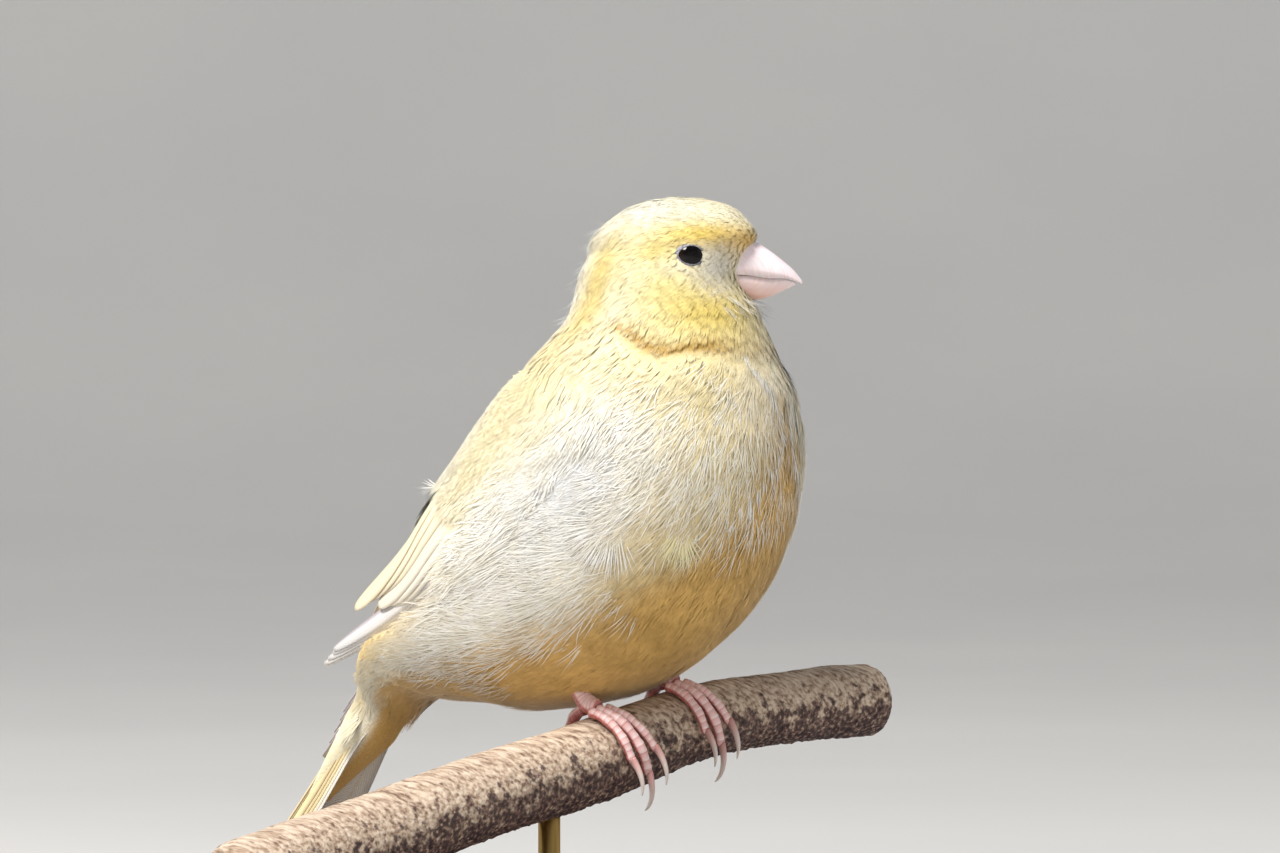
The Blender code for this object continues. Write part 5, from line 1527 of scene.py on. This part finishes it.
for side, side_name in SIDES:
    bm = bmesh.new()
    foot = FOOT_ALONG[side]
    ankle = over_branch(foot, -4, 2.0)
    top = Vector(PERCH_POINT) + Vector(TARSUS_TOP[side])
    stops = [over_branch(foot + 0.2, 10, 1.5), ankle, ankle.lerp(top, 0.35), top]
    sizes = [(1.15,), (1.45,), (TARSUS_RADIUS,), (TARSUS_RADIUS * 1.1,)]
    spots = np.linspace(0, 3, SHANK_RINGS)
    points = [Vector(spline(stops, spot)) for spot in spots]
    radii = [float(spline(sizes, spot)[0]) for spot in spots]
    forward = branch_frame(foot)[2]
    limb(bm, points, radii, [forward] * SHANK_RINGS, SHANK_SCUTES, TOE_SIDES)
    for _, from_shift, to_shift, start, end, thickness in TOES:
        points, radii, outs = [], [], []
        for share in np.linspace(0, 1, TOE_RINGS):
            knuckle = 0.5 - 0.5 * math.cos(math.tau * TOE_KNUCKLES * share)
            close = 1 - 0.35 * float(smooth_step(share, 0.93, 1.0))
            radii.append(0.5 * thickness * (1 - 0.14 * share) * (1 - 0.15 * knuckle) * close)
            along = foot + from_shift + (to_shift - from_shift) * share
            turn = start + (end - start) * share
            points.append(over_branch(along, turn, 0.5 * thickness + GAP * 0.4))
            outs.append(points[-1] - branch_axis(along)[0])
        limb(bm, points, radii, outs, TOE_SCUTES, TOE_SIDES)
    leg = new_piece("foot_and_shank_" + side_name, bm, leg_skin)
    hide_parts("leg_" + side_name)
    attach(leg, "root")


# The claws: thin curved horn, flattened from side to side and clear enough to glow, set in each toe's end.
# Each sweeps a way over the branch and lifts off it. Its root is sunk in the toe.
CLAW_RADIUS, CLAW_POINT, CLAW_DEEP, CLAW_FLAT = 0.66, 0.04, 1.1, 0.72
CLAW_RINGS, CLAW_SIDES, CLAW_SINK, CLAW_LIFT = 22, 14, 0.5, 2.3
CLAW_SWEEP = {"inner": 5.1, "middle": 5.9, "outer": 4.78, "hind": 6.38}

claw_horn, tree, shader = finish(
    "clear_claw_horn",
    {
        "Roughness": 0.28,
        "Subsurface Weight": 0.3,
        "Subsurface Radius": (1.0, 0.6, 0.5),
        "Subsurface Scale": 0.0008,
    },
)
lay, split = mark_parts(tree)
fibre = cloudy(tree, stretched(tree, lay, (1.5, 16.0, 1.0)), 2.0, 3.0)
quick_stops = ((0.0, "#C98F8C"), (0.25, "#D9B7B2"), (0.5, "#E6DAD4"), (1.0, "#F2EEE8"))
quick_and_tip = ramp(tree, split["X"], *quick_stops)
stain = ramp(tree, fibre, (0.3, "#D6CCC6"), (0.7, "#FFFFFF"))
tree.links.new(blend(tree, 0.6, quick_and_tip, stain), shader.inputs["Base Color"])

for side, side_name in SIDES:
    for name, _, to_shift, start, end, thickness in TOES:
        sign = 1 if end > start else -1
        along = FOOT_ALONG[side] + to_shift
        ride = 0.5 * thickness + GAP
        degree = math.radians(1) * (branch_axis(along)[1] + ride)
        first = end - sign * CLAW_SINK / degree
        sweep = sign * CLAW_SWEEP[name] / degree
        spots = []
        for share in np.linspace(0, 1, CLAW_RINGS):
            lift = CLAW_LIFT * math.sin(math.pi / 2 * share)
            spots.append(over_branch(along, first + sweep * share, ride + lift))
        turns = [math.tau * j / CLAW_SIDES for j in range(CLAW_SIDES)]
        rings, marks = [], []
        for i, here in enumerate(spots):
            share = i / (CLAW_RINGS - 1)
            tangent = (spots[min(i + 1, CLAW_RINGS - 1)] - spots[max(i - 1, 0)]).normalized()
            out = (here - branch_axis(along)[0]).normalized()
            out = (out - tangent * out.dot(tangent)).normalized() * CLAW_DEEP
            other = tangent.cross(out).normalized() * CLAW_FLAT
            radius = CLAW_RADIUS * (1 - share) ** 0.65 + CLAW_POINT
            rings.append([here + (out * math.cos(t) + other * math.sin(t)) * radius for t in turns])
            marks.append([(share, math.cos(t), math.sin(t)) for t in turns])
        bm = bmesh.new()
        loft(bm, rings, marks)
        claw = new_piece(f"horn_claw_{side_name}_{name}", bm, claw_horn)
        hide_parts(f"claw_{side_name}_{name}")
        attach(claw, "root")


# The stand: a turned and oiled walnut base with a bead round its edge, and two drawn brass rods that rise
# from it into the branch. Each rod sits in a small turned collar.
BASE_HEIGHT = 9.0
BASE_PROFILE = (
    (0.0, 0.0),
    (54.6, 0.0),
    (55.2, 0.4),
    (55.4, 1.6),
    (56.0, 2.4),
    (56.0, 5.2),
    (55.3, 6.0),
    (54.4, 6.3),
    (54.2, 6.9),
    (53.4, 7.9),
    (52.0, 8.6),
    (50.0, 9.0),
    (30.0, 9.0),
    (0.0, 9.0),
)
ROD_RADIUS, ROD_ALONG, ROD_SINK = 1.7, (-56.0, -18.0), 2.5
BASE_STEPS, ROD_STEPS = 128, 40

walnut, tree, shader = finish(
    "oiled_walnut",
    {"Roughness": 0.4, "Coat Weight": 0.2, "Coat Roughness": 0.25},
)
at = object_place(tree)
figure = cloudy(tree, stretched(tree, at, (18.0, 260.0, 260.0)), 1.0, 5.0, 0.6)
wood = ramp(tree, figure, (0.3, "#2E1B10"), (0.5, "#4B2F1D"), (0.7, "#6B4529"))
pores = cloudy(tree, stretched(tree, at, (220.0, 3000.0, 3000.0)), 1.0, 2.0)
pore = ramp(tree, pores, (0.34, "#8A7A70"), (0.42, "#FFFFFF"))
tree.links.new(blend(tree, 0.8, wood, pore), shader.inputs["Base Color"])
roughen(tree, shader, pores, 0.2, 0.0001)

brass, tree, shader = finish("drawn_brass", {"Metallic": 1.0})
drawn = cloudy(tree, stretched(tree, object_place(tree), (4000.0, 4000.0, 60.0)), 1.0, 3.0)
tree.links.new(ramp(tree, drawn, (0.3, "#B8924E"), (0.7, "#D8B670")), shader.inputs["Base Color"])
worn = node(tree, "ShaderNodeMapRange", {"Value": drawn, "To Min": 0.24, "To Max": 0.38}).outputs[0]
tree.links.new(worn, shader.inputs["Roughness"])

base = turned_piece("turned_base", BASE_PROFILE, 0.0, 0.0, walnut, BASE_STEPS)
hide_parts("stand_base")
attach(base, "root")
for number, along in enumerate(ROD_ALONG, 1):
    here, radius = branch_axis(along)
    head = here.z - radius + ROD_SINK
    profile = (
        (0.0, BASE_HEIGHT - ROD_SINK),
        (1.5, BASE_HEIGHT - ROD_SINK),
        (ROD_RADIUS, BASE_HEIGHT - ROD_SINK + 0.2),
        (ROD_RADIUS, BASE_HEIGHT - 0.1),
        (3.2, BASE_HEIGHT - 0.1),
        (3.4, BASE_HEIGHT + 0.3),
        (3.3, BASE_HEIGHT + 0.8),
        (2.4, BASE_HEIGHT + 1.1),
        (2.1, BASE_HEIGHT + 2.0),
        (ROD_RADIUS, BASE_HEIGHT + 2.3),
        (ROD_RADIUS, head - 0.3),
        (1.4, head),
        (0.0, head),
    )
    rod = turned_piece(f"turned_rod_{number}", profile, here.x, here.y, brass, ROD_STEPS)
    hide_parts(f"stand_rod_{number}")
    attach(rod, "root")
